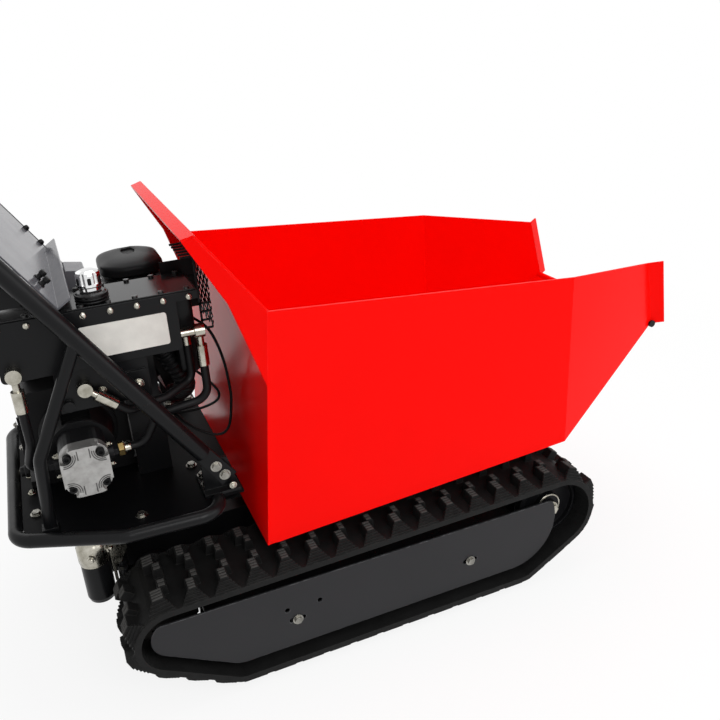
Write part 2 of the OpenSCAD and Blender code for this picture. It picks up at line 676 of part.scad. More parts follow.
module hopper() {
  color(red) difference() {
    union() {
      for (m = [0, 1]) mirror([0, m, 0]) {
        side_wall();
        chute_side();
        wing();
        side_view(bearer_in, bearer_out) union() {
          translate([tip_x, tip_z]) circle(ear_r);
          polygon([[bearer_x0, bearer_z], [tip_x - ear_r - 20, bearer_z], [tip_x, tip_z - ear_r],
            [tip_x + ear_r, tip_z], [tip_x, floor_at(tip_x) + weld],
            [bearer_x0, floor_at(bearer_x0) + weld]]);
        }
        side_view(cheek_in, cheek_in + cheek_t) union() {
          translate([rod_pin_x, rod_pin_z]) circle(cheek_r);
          polygon([[rod_pin_x - cheek_r, rod_pin_z], [rod_pin_x + cheek_r, rod_pin_z],
            [rod_pin_x + cheek_root, floor_at(rod_pin_x + cheek_root) + weld],
            [rod_pin_x - cheek_root, floor_at(rod_pin_x - cheek_root) + weld]]);
        }
      }
      cross_sheet(rear_foot + tuck * floor_u, floor_end - tuck * floor_u,
        hopper_half - 1, hopper_half - 1, 1);
      cross_sheet(rear_foot, rear_top + tuck * unit(rear_v), hopper_half - 1, hopper_half - 1, -1);
      cross_sheet(rear_top - tuck * hood_u, [hood_x, hood_z], hopper_half - 2, hood_half, -1);
      cross_sheet(hood_root, [hood_x - hood_flange, hood_z - 6], hood_half - 1, hood_half - 6, -1);
      cross_sheet([bend_x, bend_floor_z], [lip_x, lip_z], hopper_half - 2, chute_half(lip_x) - 1, 1);
      y_rod(lip_bar_at[0], lip_bar_at[1], lip_bar_r, -lip_bar_half, lip_bar_half);
    }
    for (m = [0, 1]) mirror([0, m, 0])
      y_rod(tip_x, tip_z, tip_pin_r + run_gap, bearer_in - 1, bearer_out + 1);
    y_rod(rod_pin_x, rod_pin_z, cyl_pin_r + seat_gap, -cheek_in - cheek_t - 1, cheek_in + cheek_t + 1);
    for (m = [0, 1]) mirror([0, m, 0])
      y_rod(lip_bar_at[0], lip_bar_at[1], lip_bar_r - plug_wall,
        -lip_bar_half - 1, -lip_bar_half + plug_depth + 2);
  }
}
module lip_plugs() {
  for (m = [0, 1]) mirror([0, m, 0]) color(gloss_black) {
    y_rod(lip_bar_at[0], lip_bar_at[1], lip_bar_r, -lip_bar_half - plug_t, -lip_bar_half);
    y_rod(lip_bar_at[0], lip_bar_at[1], lip_bar_r - plug_wall - seat_gap,
      -lip_bar_half - 1, -lip_bar_half + plug_depth);
  }
}
module tip_pins() {
  for (m = [0, 1]) mirror([0, m, 0]) color(steel) {
    y_rod(tip_x, tip_z, tip_pin_r, bearer_in - 4, rail_out + ear_t + 2);
    y_rod(tip_x, tip_z, tip_pin_r + 5, rail_out + ear_t + seat_gap, rail_out + ear_t + 6);
  }
}

// Tipping cylinder, drawn along its own axis from the foot pin
cyl_v = [rod_pin_x - foot_x, rod_pin_z - foot_z];
cyl_len = norm(cyl_v);
cyl_slope = atan2(cyl_v[1], cyl_v[0]);
barrel_len = 480;
eye_half = 15;
eye_r = 18;
open_gap = 11.3;
module along_cylinder() {
  translate([foot_x, 0, foot_z]) rotate([0, -cyl_slope, 0]) children();
}
module cylinder_barrel() {
  color(gloss_black) along_cylinder() difference() {
    union() {
      y_rod(0, 0, eye_r, -eye_half, eye_half);
      translate([14, 0, 0]) rotate([0, 90, 0]) cylinder(r = 14, h = 24);
      translate([34, 0, 0]) rotate([0, 90, 0]) cylinder(r = barrel_r, h = barrel_len - 34);
      translate([barrel_len - 30, 0, 0]) rotate([0, 90, 0]) cylinder(r = barrel_r + 3, h = 30);
      for (x = [60, barrel_len - 50]) translate([x, 0, -barrel_r - 8]) cylinder(r = 11, h = 20);
    }
    y_rod(0, 0, cyl_pin_r + run_gap, -eye_half - 1, eye_half + 1);
    translate([50, 0, 0]) rotate([0, 90, 0]) cylinder(r = piston_rod_r + run_gap, h = barrel_len);
  }
}
rod_inside = 300;
module cylinder_rod() {
  color(steel) along_cylinder() difference() {
    union() {
      translate([barrel_len - rod_inside, 0, 0]) rotate([0, 90, 0])
        cylinder(r = piston_rod_r, h = cyl_len - barrel_len + rod_inside - cyl_pin_r - open_gap);
      y_rod(cyl_len, 0, cyl_pin_r + open_gap + 7, -eye_half, eye_half);
    }
    y_rod(cyl_len, 0, cyl_pin_r + open_gap, -eye_half - 1, eye_half + 1);
  }
}
module cylinder_foot_pin() {
  reach = foot_ear_in + foot_ear_t;
  color(steel) y_rod(foot_x, foot_z, cyl_pin_r, -reach - 4, reach + 4);
}
module cylinder_rod_pin() {
  reach = cheek_in + cheek_t;
  color(steel) y_rod(rod_pin_x, rod_pin_z, cyl_pin_r, -reach - 4, reach + 4);
}

// Deck and bumper
bumper_z = deck_z - 3;
bumper_front = [-325, 308];
bumper_mid = [-500, 300];
bumper_rear = [-682, 222];
bumper_bend = 42;
bumper_right = [
  [bumper_front[0], -bumper_front[1] + 44], [bumper_front[0], -bumper_front[1]],
  [bumper_mid[0], -bumper_mid[1]], [bumper_rear[0], -bumper_rear[1]]
];
bumper_left = [for (i = [3:-1:0]) [bumper_right[i][0], -bumper_right[i][1]]];
bumper_points = concat(bumper_right, bumper_left);
module bumper_tube() {
  color(gloss_black) bent_tube([for (p = bumper_points) [p[0], p[1], bumper_z]], bumper_r, bumper_bend);
}
deck_front = -272;
deck_front_half = 256;
module deck_plate() {
  loop = [bumper_right[1], bumper_left[2], bumper_left[1], bumper_left[0], bumper_right[3], bumper_right[2]];
  inner = inset(loop, bumper_r + touch_gap);
  color(gloss_black) translate([0, 0, deck_z - deck_t]) linear_extrude(deck_t) {
    polygon(rounded(inner, bumper_bend - bumper_r));
    translate([bumper_front[0] - 30, -deck_front_half])
      square([deck_front - bumper_front[0] + 30, 2 * deck_front_half]);
  }
}
deck_bolt_at = [[-644, 153], [-465, 252], [-345, 120]];
bolt_r = 8;
bolt_h = 7;
module hex_bolt(x, y, z) {
  translate([x, y, z]) {
    cylinder(r = bolt_r + 3, h = 2);
    cylinder(r = bolt_r, h = bolt_h, $fn = 6);
  }
}
// All the hexagon bolts: deck, feet of the handle bars, side plates
module hex_bolts() {
  lug_y = bar_y + tongue_t / 2;
  plate_y = -plate_in - plate_t;
  color(steel) for (m = [0, 1]) mirror([0, m, 0]) {
    for (p = deck_bolt_at) hex_bolt(p[0], p[1], deck_z);
    for (p = foot_bolt_at) hex_bolt(p[0], p[1], deck_z + foot_plate_t);
    for (a = foot_bolt_a) let (p = bar_pt(tongue_low + a, 0))
      translate([p[0], lug_y, p[1]]) rotate([-90, 0, 0]) hex_bolt(0, 0, 0);
    on_track() for (x = plate_bolt_x) {
      y_rod(x, plate_bolt_z, plate_bolt_r, plate_y - 1, -plate_in + bolt_depth - 2);
      translate([x, plate_y, plate_bolt_z]) rotate([90, 0, 0]) hex_bolt(0, 0, 0);
    }
  }
}

// Handle bars: a point is given along the bar from its mark and square to it
bar_mark = [-354, 501];
bar_dir = [-cos(bar_slope), sin(bar_slope)];
bar_up = [sin(bar_slope), cos(bar_slope)];
function bar_pt(a, b) = bar_mark + a * bar_dir + b * bar_up;
function bar_at_z(z) = (z - bar_mark[1]) / sin(bar_slope);
grip_end_x = -763.2;
grip_cap = 6;
tongue_t = 8;
tongue_len = 96;
tongue_half = 18;
tongue_lap = 20;
tongue_low = bar_at_z(deck_z + 24);
cross_tube_r = 13;
cross_tube_a = [356, 478];
bar_corner = bar_pt(bar_at_z(grip_z), 0);
cross_tube_x = bar_corner[0] - 38.2;
brace_top_z = 742;
brace_top_a = bar_at_z(brace_top_z);
brace_knee = [-610, 540];
brace_foot = [-622, 214];
brace_pad = [28, 24, 6];
module handle_bars() {
  corner = bar_corner;
  low = bar_pt(tongue_low + tongue_len - tongue_lap, 0);
  brace_top = bar_pt(brace_top_a, 0);
  color(gloss_black) {
    for (m = [-1, 1]) {
      bent_tube([[low[0], m * bar_y, low[1]], [corner[0], m * bar_y, corner[1]],
        [grip_end_x + grip_cap, m * bar_y, grip_z]], bar_r, 40);
      side_view(m * bar_y - tongue_t / 2, m * bar_y + tongue_t / 2) polygon([
        bar_pt(tongue_low, -tongue_half), bar_pt(tongue_low, tongue_half),
        bar_pt(tongue_low + tongue_len, bar_r - 1), bar_pt(tongue_low + tongue_len, 1 - bar_r)
      ]);
      bent_tube([[brace_top[0], m * bar_y, brace_top[1]], [brace_knee[0], m * bar_y, brace_knee[1]],
        [brace_foot[0], m * brace_foot[1], deck_z + 3]], brace_r, 40);
      translate([brace_foot[0] - brace_pad[0] / 2, m * brace_foot[1] - brace_pad[1] / 2, deck_z])
        cube(brace_pad);
    }
    for (a = cross_tube_a) let (p = bar_pt(a, 0)) y_rod(p[0], p[1], cross_tube_r, -bar_y, bar_y);
    y_rod(cross_tube_x, grip_z, cross_tube_r, -bar_y, bar_y);
  }
}
foot_plate_t = 6;
foot_lug_t = 8;
foot_lug_reach = 50;
foot_lug_tip = [-21, 12];
foot_plate_x = [-346, -276];
foot_plate_y = [166, 255];
foot_bolt_at = [[-334, 178], [-288, 178], [-334, 214], [-288, 214]];
module handle_feet() {
  lug_y = bar_y - tongue_t / 2 - foot_lug_t;
  top = bar_pt(tongue_low + foot_lug_reach, 0);
  color(gloss_black) for (m = [0, 1]) mirror([0, m, 0]) {
    block([foot_plate_x[0], foot_plate_y[0], deck_z],
      [foot_plate_x[1], foot_plate_y[1], deck_z + foot_plate_t]);
    side_view(lug_y, bar_y - tongue_t / 2) polygon([
      [foot_plate_x[0] + 4, deck_z + foot_plate_t - weld],
      [foot_plate_x[1] - 2, deck_z + foot_plate_t - weld],
      [top[0] + 30, top[1]], top + foot_lug_tip
    ]);
  }
}
foot_bolt_a = [14, 40];
grip_len = 74;
grip_r = 21;
rib_n = 6;
rib_step = 10;
module grips() {
  end_x = grip_end_x + grip_cap;
  color(rubber_black) for (m = [-1, 1]) translate([end_x, m * bar_y, grip_z]) rotate([0, 90, 0])
    difference() {
      union() {
        translate([0, 0, -grip_cap]) cylinder(r = grip_r - 2, h = grip_len);
        translate([0, 0, -grip_cap]) cylinder(r = grip_r + 2, h = grip_cap);
        for (i = [0:rib_n - 1]) translate([0, 0, 8 + i * rib_step]) cylinder(r = grip_r, h = 5);
      }
      cylinder(r = bar_r + seat_gap, h = grip_len + 20);
    }
}

// Control panel: a sloping sheet on the cross tubes with a lip below and a level shelf above
panel_b = cross_tube_r + touch_gap;
lip_a = 338;
lip_b = 42;
shelf_z = grip_z + panel_b;
function panel_bend(lift) = let (b = panel_b + lift)
  bar_pt((shelf_z + lift - bar_mark[1] - b * bar_up[1]) / bar_dir[1], b);
lever_x = bar_corner[0] - 67.2;
shelf_x = lever_x - 25;
lever_z = 912;
lever_shaft_r = 6;
lever_y = [-70, 70];
tip_lever_y = 0;
throttle_y = 140;
slot_w = 16;
slot_len = 34;
cheek_y = 172;
tab_x = -503.2;
tab_z = 745;
module console() {
  color(panel_grey) difference() {
    union() {
      side_view(-console_half, console_half) polygon([
        bar_pt(lip_a, lip_b), bar_pt(lip_a, panel_b), panel_bend(0),
        [shelf_x, shelf_z], [shelf_x, shelf_z + console_t], panel_bend(console_t),
        bar_pt(lip_a + console_t, panel_b + console_t), bar_pt(lip_a + console_t, lip_b)
      ]);
      side_view(-20, 30) polygon([
        bar_pt(lip_a + console_t, lip_b), bar_pt(lip_a, lip_b - 4), [tab_x - console_t, tab_z + 50],
        [tab_x - console_t, tab_z], [tab_x, tab_z], [tab_x, tab_z + 60]
      ]);
      for (m = [0, 1]) mirror([0, m, 0]) side_view(cheek_y, cheek_y + 2 * console_t) polygon([
        [lever_x - 16, lever_z - 14], [lever_x + 14, lever_z - 14],
        [lever_x + 16, shelf_z + weld], [lever_x - 20, shelf_z + weld]
      ]);
    }
    for (y = concat(lever_y, [tip_lever_y, throttle_y]))
      translate([lever_x - slot_len / 2, y - slot_w / 2, shelf_z - 5]) cube([slot_len, slot_w, 20]);
    y_rod(lever_x, lever_z, lever_shaft_r + seat_gap, -console_half - 1, console_half + 1);
  }
}
module lever_shaft() {
  end = cheek_y + 2 * console_t + seat_gap;
  color(steel) {
    y_rod(lever_x, lever_z, lever_shaft_r, -end - 4, end + 4);
    for (y = [-end - 4, end]) y_rod(lever_x, lever_z, lever_shaft_r + 3, y, y + 4);
  }
}
lever_hub_r = 12;
module hand_lever(y, top, knob_r) {
  color(gloss_black) difference() {
    union() {
      y_rod(lever_x, lever_z, lever_hub_r, y - 7, y + 7);
      translate([lever_x, y, lever_z]) cylinder(r = 5, h = top);
      translate([lever_x, y, lever_z + top - 8]) rotate_extrude() polygon([
        [0, 0], [7, 0], [knob_r * 0.7, 10], [knob_r, 24], [knob_r, 34], [knob_r * 0.72, 43], [0, 46]
      ]);
    }
    y_rod(lever_x, lever_z, lever_shaft_r + run_gap, y - 8, y + 8);
  }
}
module switch_box() {
  color(panel_grey) side_view(-30, 40) polygon(rounded([
    [tab_x, tab_z - 8], [tab_x + 37, tab_z - 8], [tab_x + 37, tab_z + 52], [tab_x, tab_z + 58]
  ], 4));
}

// Engine with its crankshaft across the machine
engine_back = 170;
case_half = 95;
case_top = 590;
fin_n = 7;
fin_pitch = 12;
fin_t = 4;
bore_lean = 25;
fin_start = 100;
fin_half = 62;
bore_y = 55;
bore_r = 48;
bore_start = 40;
head_at = fin_start + fin_n * fin_pitch;
foot_reach = 12;
foot_h = 14;
shroud_x = [-78, 66];
shroud_y = 10;
shroud_top = 660;
module engine() {
  color(black) {
    side_view(engine_y, engine_back) polygon(rounded([
      [crank_x - case_half, deck_z + foot_h], [crank_x + case_half, deck_z + foot_h],
      [crank_x + case_half, case_top - 60], [crank_x + 40, case_top], [crank_x - case_half, case_top]
    ], 14));
    block([crank_x - case_half - foot_reach, engine_y + 6, deck_z],
      [crank_x + case_half + foot_reach, engine_back - 40, deck_z + foot_h + weld]);
    block([crank_x + shroud_x[0], shroud_y, case_top - weld],
      [crank_x + shroud_x[1], engine_back - 4, shroud_top]);
    translate([crank_x, bore_y, crank_z]) rotate([0, -bore_lean, 0]) {
      translate([bore_start, 0, 0]) rotate([0, 90, 0]) cylinder(r = bore_r, h = head_at - bore_start);
      for (i = [0:fin_n - 1]) translate([fin_start + i * fin_pitch, -fin_half, -fin_half])
        cube([fin_t, 2 * fin_half, 2 * fin_half]);
    }
  }
}
head_half = 52;
head_t = 16;
head_fins = 4;
head_fin_gap = 11.5;
rocker = [22, 64, 80];
exhaust_x = -372;
exhaust_y = 60;
exhaust_r = 15;
exhaust_len = 100;
module cylinder_head() {
  top = head_at + head_t - weld;
  color(black) translate([crank_x, bore_y, crank_z]) rotate([0, -bore_lean, 0]) {
    translate([head_at, -head_half, -head_half]) cube([head_t, 2 * head_half, 2 * head_half]);
    for (i = [-head_fins:head_fins]) translate([top, 2 - head_half, i * head_fin_gap - fin_t / 2])
      cube([head_t, 2 * head_half - 4, fin_t]);
    translate([top, -rocker[1] / 2, -rocker[2] / 2]) cube(rocker);
  }
  color(black) translate([exhaust_x, exhaust_y, muffler_lo[2] - exhaust_len])
    cylinder(r = exhaust_r, h = exhaust_len);
}
recoil_r = 90;
recoil_h = 44;
recoil_rim = 30;
vent_n = 12;
pull_at = [56, 26, 56];
pull_r = 9;
pull_len = 40;
module recoil_cover() {
  color(gloss_black) translate([crank_x, engine_back, crank_z]) rotate([-90, 0, 0]) difference() {
    rotate_extrude() polygon([
      [0, 0], [recoil_r, 0], [recoil_r, recoil_rim], [recoil_r - 8, recoil_h - 8],
      [50, recoil_h - 4], [40, recoil_h], [0, recoil_h]
    ]);
    for (i = [0:vent_n - 1]) rotate(i * 360 / vent_n)
      translate([56, -5, recoil_rim - 4]) cube([20, 10, recoil_h]);
  }
  color(gloss_black) translate([crank_x, engine_back, crank_z] + pull_at) rotate([0, 90, 0])
    cylinder(r = pull_r, h = pull_len);
}
fuel_tank_h = 68;
fuel_tank_y = [-30, 165];
fuel_neck_x = crank_x - 20;
fuel_neck_y = 60;
fuel_neck_r = 20;
fuel_neck_h = 6;
fuel_cap_r = 28;
fuel_cap_h = 20;
module fuel_tank() {
  shoulder = shroud_top + fuel_tank_h - 24;
  top = shroud_top + fuel_tank_h;
  color(gloss_black) {
    side_view(fuel_tank_y[0], fuel_tank_y[1]) polygon(rounded([
      [crank_x - 105, shroud_top], [crank_x + 80, shroud_top], [crank_x + 88, shoulder],
      [crank_x + 60, top], [crank_x - 80, top], [crank_x - 108, shoulder]
    ], 18));
    translate([fuel_neck_x, fuel_neck_y, top - weld]) cylinder(r = fuel_neck_r, h = fuel_neck_h + weld);
  }
}
module fuel_cap() {
  z = shroud_top + fuel_tank_h + fuel_neck_h + touch_gap;
  color(black) translate([fuel_neck_x, fuel_neck_y, z]) difference() {
    rotate_extrude() polygon([
      [0, 0], [fuel_cap_r - 1, 0], [fuel_cap_r, 3], [fuel_cap_r, fuel_cap_h - 5],
      [fuel_cap_r - 4, fuel_cap_h - 1], [0, fuel_cap_h]
    ]);
    for (i = [0:11]) rotate(i * 30) translate([fuel_cap_r + 1, 0, -1]) cylinder(r = 3, h = fuel_cap_h + 2);
  }
}
muffler_lo = [-438, -8, 712];
muffler_hi = [-314, 150, 790];
louvre_n = 9;
module muffler() {
  mid = [(muffler_lo[0] + muffler_hi[0]) / 2, (muffler_lo[1] + muffler_hi[1]) / 2];
  color(gloss_black) difference() {
    side_view(muffler_lo[1], muffler_hi[1]) polygon(rounded([
      [muffler_lo[0] + 8, muffler_lo[2]], [muffler_hi[0] - 8, muffler_lo[2]],
      [muffler_hi[0], muffler_hi[2] - 26], [muffler_hi[0] - 22, muffler_hi[2]],
      [muffler_lo[0] + 22, muffler_hi[2]], [muffler_lo[0], muffler_hi[2] - 26]
    ], 12));
    for (i = [0:louvre_n - 1]) translate(muffler_lo + [20 + i * 10, -1, 8]) cube([5, 8, 36]);
    translate([mid[0] - 14, mid[1], muffler_hi[2] - 5]) cylinder(r = 7, h = 10);
    translate([mid[0] + 6, mid[1], muffler_hi[2] - 5]) cylinder(r = 7, h = 10);
    translate([mid[0] - 14, mid[1] - 7, muffler_hi[2] - 5]) cube([20, 14, 10]);
  }
}
mesh_lo = [-291, 690];
mesh_hi = [-268, 832];
mesh_y = [-170, -58];
mesh_cell = 14;
mesh_bar = 3;
mesh_t = 3;
strap_x = muffler_lo[0] + 100;
strap_z = mesh_lo[1] + 60;
strap_w = 14;
module diamond_mesh(w, h) {
  difference() {
    square([w, h]);
    for (i = [0:floor(w / mesh_cell)]) for (j = [0:floor(2 * h / mesh_cell)])
      let (x = (i + (j % 2) / 2) * mesh_cell + mesh_cell / 2, y = j * mesh_cell / 2 + mesh_cell / 2)
        if (x > mesh_cell / 2 && x < w - mesh_cell / 2 && y > mesh_cell / 2 - 1 && y < h - mesh_cell / 2)
          translate([x, y]) rotate(45) square((mesh_cell - mesh_bar) / sqrt(2), center = true);
  }
}
module mesh_guard() {
  color(black) {
    translate([mesh_hi[0], mesh_y[0], mesh_lo[1]]) rotate([90, 0, 90]) translate([0, 0, -mesh_t])
      linear_extrude(mesh_t) diamond_mesh(mesh_y[1] - mesh_y[0], mesh_hi[1] - mesh_lo[1]);
    side_view(mesh_y[0], mesh_y[0] + mesh_t) translate(mesh_lo)
      diamond_mesh(mesh_hi[0] - mesh_lo[0], mesh_hi[1] - mesh_lo[1]);
    translate([mesh_lo[0], mesh_y[0], mesh_hi[1] - mesh_t]) linear_extrude(mesh_t)
      diamond_mesh(mesh_hi[0] - mesh_lo[0], mesh_y[1] - mesh_y[0]);
    block([strap_x, mesh_y[1] - 4, strap_z], [mesh_hi[0], mesh_y[1], strap_z + strap_w]);
    block([strap_x, mesh_y[1] - 4, strap_z], [strap_x + strap_w, muffler_lo[1], strap_z + strap_w]);
  }
}

// Hydraulic pump on the engine
bell_y = -150;
pump_split = -205;
bell_r = 74;
bell_window_z = [[40, 90], [-90, -40]];
pump_w = 84;
pump_h = 96;
pump_bolt_at = [29, 30.5];
module bell_housing() {
  color(black) difference() {
    translate([crank_x, engine_y, crank_z]) rotate([90, 0, 0]) rotate_extrude() polygon([
      [0, 0], [bell_r, 0], [bell_r, 9], [bell_r - 8, 12], [52, 82], [60, 84],
      [60, engine_y - bell_y], [0, engine_y - bell_y]
    ]);
    for (z = bell_window_z)
      block([crank_x - 26, bell_y + 22, crank_z + z[0]], [crank_x + 26, bell_y + 60, crank_z + z[1]]);
  }
}
module pump_outline() {
  translate([crank_x, crank_z]) polygon(rounded([
    [-pump_w / 2, -pump_h / 2], [pump_w / 2, -pump_h / 2], [pump_w / 2, pump_h / 2], [-pump_w / 2, pump_h / 2]
  ], 26));
}
module gear_pump() {
  color(black) {
    side_view(pump_split, bell_y) pump_outline();
    for (m = [-1, 1]) translate([crank_x + m * (pump_w / 2 - 2), port_in_y, crank_z]) rotate([0, m * 90, 0]) {
      cylinder(r = 16, h = 12);
      cylinder(r = 11, h = 22, $fn = 6);
    }
  }
}
module pump_cover() {
  color(silver) difference() {
    side_view(pump_y, pump_split) pump_outline();
    for (i = [-1, 1]) for (j = [-1, 1])
      y_rod(crank_x + i * (pump_bolt_at[0] + 4), crank_z + j * (pump_bolt_at[1] + 4), seat_r,
        pump_y - 1, pump_y + bolt_seat);
  }
}
bolt_seat = 12;
seat_r = 13;
socket_head_r = 7;
socket_r = 4;
module pump_bolts() {
  color(gloss_black) for (i = [-1, 1]) for (j = [-1, 1])
    let (x = crank_x + i * pump_bolt_at[0], z = crank_z + j * pump_bolt_at[1]) difference() {
      y_rod(x, z, socket_head_r, pump_y + 1, pump_y + bolt_seat);
      translate([x, pump_y, z]) rotate([-90, 0, 0]) cylinder(r = socket_r, h = bolt_seat / 2, $fn = 6);
    }
}

// Hydraulic tank
tank_rim = 4;
rim_h = 15;
rim_x1 = tank_x1 + 40;
cover_t = 3;
tank_top = tank_z0 + tank_h;
filler_x = -470;
filler_y = tank_y + 36;
stand_x = [-445, -380];
stand_y = tank_y + tank_d - 30;
stand_t = 6;
stand_foot = 36;
module hydraulic_tank() {
  color(black) {
    side_view(tank_y, tank_y + tank_d) polygon(rounded([
      [tank_x0, tank_z0], [tank_x1, tank_z0], [tank_x1, tank_top], [tank_x0, tank_top]
    ], 8));
    block([tank_x0, tank_y, tank_top - rim_h], [rim_x1, tank_y + tank_d, tank_top]);
    block([stand_x[0], stand_y, deck_z], [stand_x[1], stand_y + stand_t, tank_z0 + weld]);
    block([stand_x[0], stand_y, deck_z], [stand_x[1], stand_y + stand_foot, deck_z + stand_t]);
  }
}
collar_h = 18;
module tank_cover() {
  color(panel_grey) block([tank_x0 + tank_rim, tank_y + tank_rim, tank_top],
    [rim_x1 - tank_rim, tank_y + tank_d - tank_rim, tank_top + cover_t]);
  color(gloss_black) translate([filler_x, filler_y, tank_top + cover_t - weld]) rotate_extrude() polygon([
    [0, 0], [23, 0], [23, 8], [27, 9], [27, 16], [23, collar_h + weld], [0, collar_h + weld]
  ]);
}
// Control valve under the tank, with a bolted plate on its near side
valve_lo = [-560, -185, 590];
valve_hi = [-400, -110, tank_z0];
valve_plate = [[-441, 598], [-404, 646]];
valve_plate_t = 6;
valve_boss_r = 8;
relief_at = [-545, 604];
relief_r = 10;
module control_valve() {
  mid = (valve_plate[0] + valve_plate[1]) / 2;
  face = valve_lo[1];
  color(black) {
    block(valve_lo, valve_hi);
    block([valve_plate[0][0], face - valve_plate_t, valve_plate[0][1]],
      [valve_plate[1][0], face + weld, valve_plate[1][1]]);
    y_rod(mid[0], mid[1], valve_boss_r, face - 2 * valve_plate_t, face);
    y_rod(relief_at[0], relief_at[1], relief_r, face - relief_r, face + weld);
  }
}
tank_bolt_n = 8;
tank_bolt_gap = 45;
tank_bolt_r = 5;
tank_bolt_h = 4;
tank_bolt_in = 9;
module tank_bolts() {
  for (i = [0:tank_bolt_n - 1]) let (x = rim_x1 - 17 - i * tank_bolt_gap) color(steel) {
    y_rod(x, tank_top - tank_bolt_in, tank_bolt_r, tank_y - tank_bolt_h, tank_y);
    for (y = [tank_y + tank_bolt_in, tank_y + tank_d - tank_bolt_in]) translate([x, y, tank_top + cover_t])
      cylinder(r = tank_bolt_r, h = tank_bolt_h);
  }
}
module breather_cap() {
  color(silver) translate([filler_x, filler_y, tank_top + cover_t + collar_h + touch_gap]) difference() {
    rotate_extrude() polygon([
      [0, 0], [18, 0], [19, 3], [19, 8], [21, 10], [21, 30], [19, 34], [12, 37], [0, 38]
    ]);
    for (i = [0:5]) rotate(i * 60) translate([22, 0, 14]) cylinder(r = 4, h = 30);
  }
}

// Hoses with their fittings: tank's end to the pump, tank's face to the pump, valve to the tank's end
hose_bend = 30;
tight_bend = 20;
ferrule_r = 11;
ferrule_len = 40;
eye_len = 22;
banjo_r = 13;
banjo_drop = 28;
neck_r = 6.5;
port_x = pump_w / 2 + 20;
port_in_y = -178;
end_port = [-300, -185, 696];
end_run = [[-400, -180, 545], [-430, port_in_y, crank_z]];
end_turn_z = 560;
face_port = [-619, tank_y - 12, 690];
face_turn_z = 560;
valve_port = [-514, -200, 634];
valve_dir = unit([54, -1, -46]);
valve_run = [-375, -176, 576];
elbow_port = [-320, -150, 686];
elbow_turn_z = 590;
elbow_drop = 26;
function ferrule_top(port) = port - [0, 0, banjo_drop];
function ferrule_end(port) = port - [0, 0, banjo_drop + ferrule_len];
valve_ferrule = [valve_port + eye_len * valve_dir, valve_port + (eye_len + ferrule_len) * valve_dir];
module hoses() {
  pump_far = [crank_x + port_x, port_in_y, crank_z];
  pump_near = [crank_x - port_x, port_in_y, crank_z];
  end_turn = [end_port[0], end_port[1], end_turn_z];
  face_turn = [face_port[0], face_port[1], face_turn_z];
  elbow_turn = [elbow_port[0], elbow_port[1], elbow_turn_z];
  color(rubber_black) {
    bent_tube(concat([ferrule_end(end_port), end_turn], end_run, [pump_far]), hose_r, hose_bend);
    bent_tube([ferrule_end(face_port), face_turn, pump_near - [34, 0, 0], pump_near], hose_r, tight_bend + 2);
    bent_tube([valve_ferrule[1], valve_ferrule[1] + 26 * valve_dir, valve_run, elbow_turn,
      elbow_port - [0, 0, elbow_drop]], hose_r, tight_bend);
  }
}
// A ring fitting: the eye lies along its bolt, the ferrule holds the hose
module banjo(eye_at, eye_dir, ferrule) {
  rod_between(eye_at, eye_at + eye_dir, banjo_r);
  rod_between(eye_at + 0.5 * eye_dir, ferrule[0] + 2 * unit(ferrule[1] - ferrule[0]), neck_r);
  rod_between(ferrule[0], ferrule[1], ferrule_r);
}
module hose_fittings() {
  color(zinc) {
    rod_between([tank_x1, end_port[1], end_port[2]], end_port - [8, 0, 0], hose_r);
    banjo(end_port - [9, 0, 0], [18, 0, 0], [ferrule_top(end_port), ferrule_end(end_port)]);
    banjo([face_port[0], tank_y, face_port[2]], [0, -eye_len, 0],
      [ferrule_top(face_port), ferrule_end(face_port)]);
    banjo([valve_port[0], valve_lo[1], valve_port[2]], [0, -eye_len, 0], valve_ferrule);
    rod_between([tank_x1, elbow_port[1], elbow_port[2]], elbow_port + [hose_r, 0, 0], hose_r);
    rod_between(elbow_port, elbow_port - [0, 0, elbow_drop], hose_r);
  }
}

// Oil filter under the deck's rear corner
filter_at = [-564, -150];
filter_r = 28;
filter_z0 = 158;
filter_z1 = 282;
filter_head_r = 22;
module oil_filter() {
  translate([filter_at[0], filter_at[1], 0]) {
    color(gloss_black) translate([0, 0, filter_z0]) rotate_extrude() polygon([
      [0, 0], [filter_r - 10, 0], [filter_r - 3, 5], [filter_r, 14], [filter_r, filter_z1 - filter_z0],
      [0, filter_z1 - filter_z0]
    ]);
    color(zinc) translate([0, 0, filter_z1 - weld])
      cylinder(r = filter_head_r, h = outrigger_z0 - filter_z1 + weld);
  }
}

chassis_frame();
on_track() track_beam();  // track_beam_right
left() on_track() track_beam();  // track_beam_left
on_track() side_plate();  // side_plate_right
left() on_track() side_plate();  // side_plate_left
on_track() rubber_track();  // rubber_track_right
left() on_track() rubber_track();  // rubber_track_left
on_track() sprocket();  // sprocket_right
left() on_track() sprocket();  // sprocket_left
on_track() drive_motor();  // drive_motor_right
left() on_track() drive_motor();  // drive_motor_left
on_track() idler();  // idler_right
left() on_track() idler();  // idler_left
on_track() roller(roller_x[0]);  // roller_right_rear
on_track() roller(roller_x[1]);  // roller_right_middle
on_track() roller(roller_x[2]);  // roller_right_front
left() on_track() roller(roller_x[0]);  // roller_left_rear
left() on_track() roller(roller_x[1]);  // roller_left_middle
left() on_track() roller(roller_x[2]);  // roller_left_front
wheel_axles();
hex_bolts();
hopper();
lip_plugs();
tip_pins();
rest_pads();
cylinder_barrel();
cylinder_rod();
cylinder_foot_pin();
cylinder_rod_pin();
deck_plate();
bumper_tube();
handle_bars();
handle_feet();
grips();
console();
lever_shaft();
hand_lever(lever_y[0], 96, 15);  // drive_lever_right
hand_lever(lever_y[1], 96, 15);  // drive_lever_left
hand_lever(tip_lever_y, 78, 13);  // tip_lever
hand_lever(throttle_y, 56, 9);  // throttle_lever
control_valve();
switch_box();
engine();
cylinder_head();
recoil_cover();
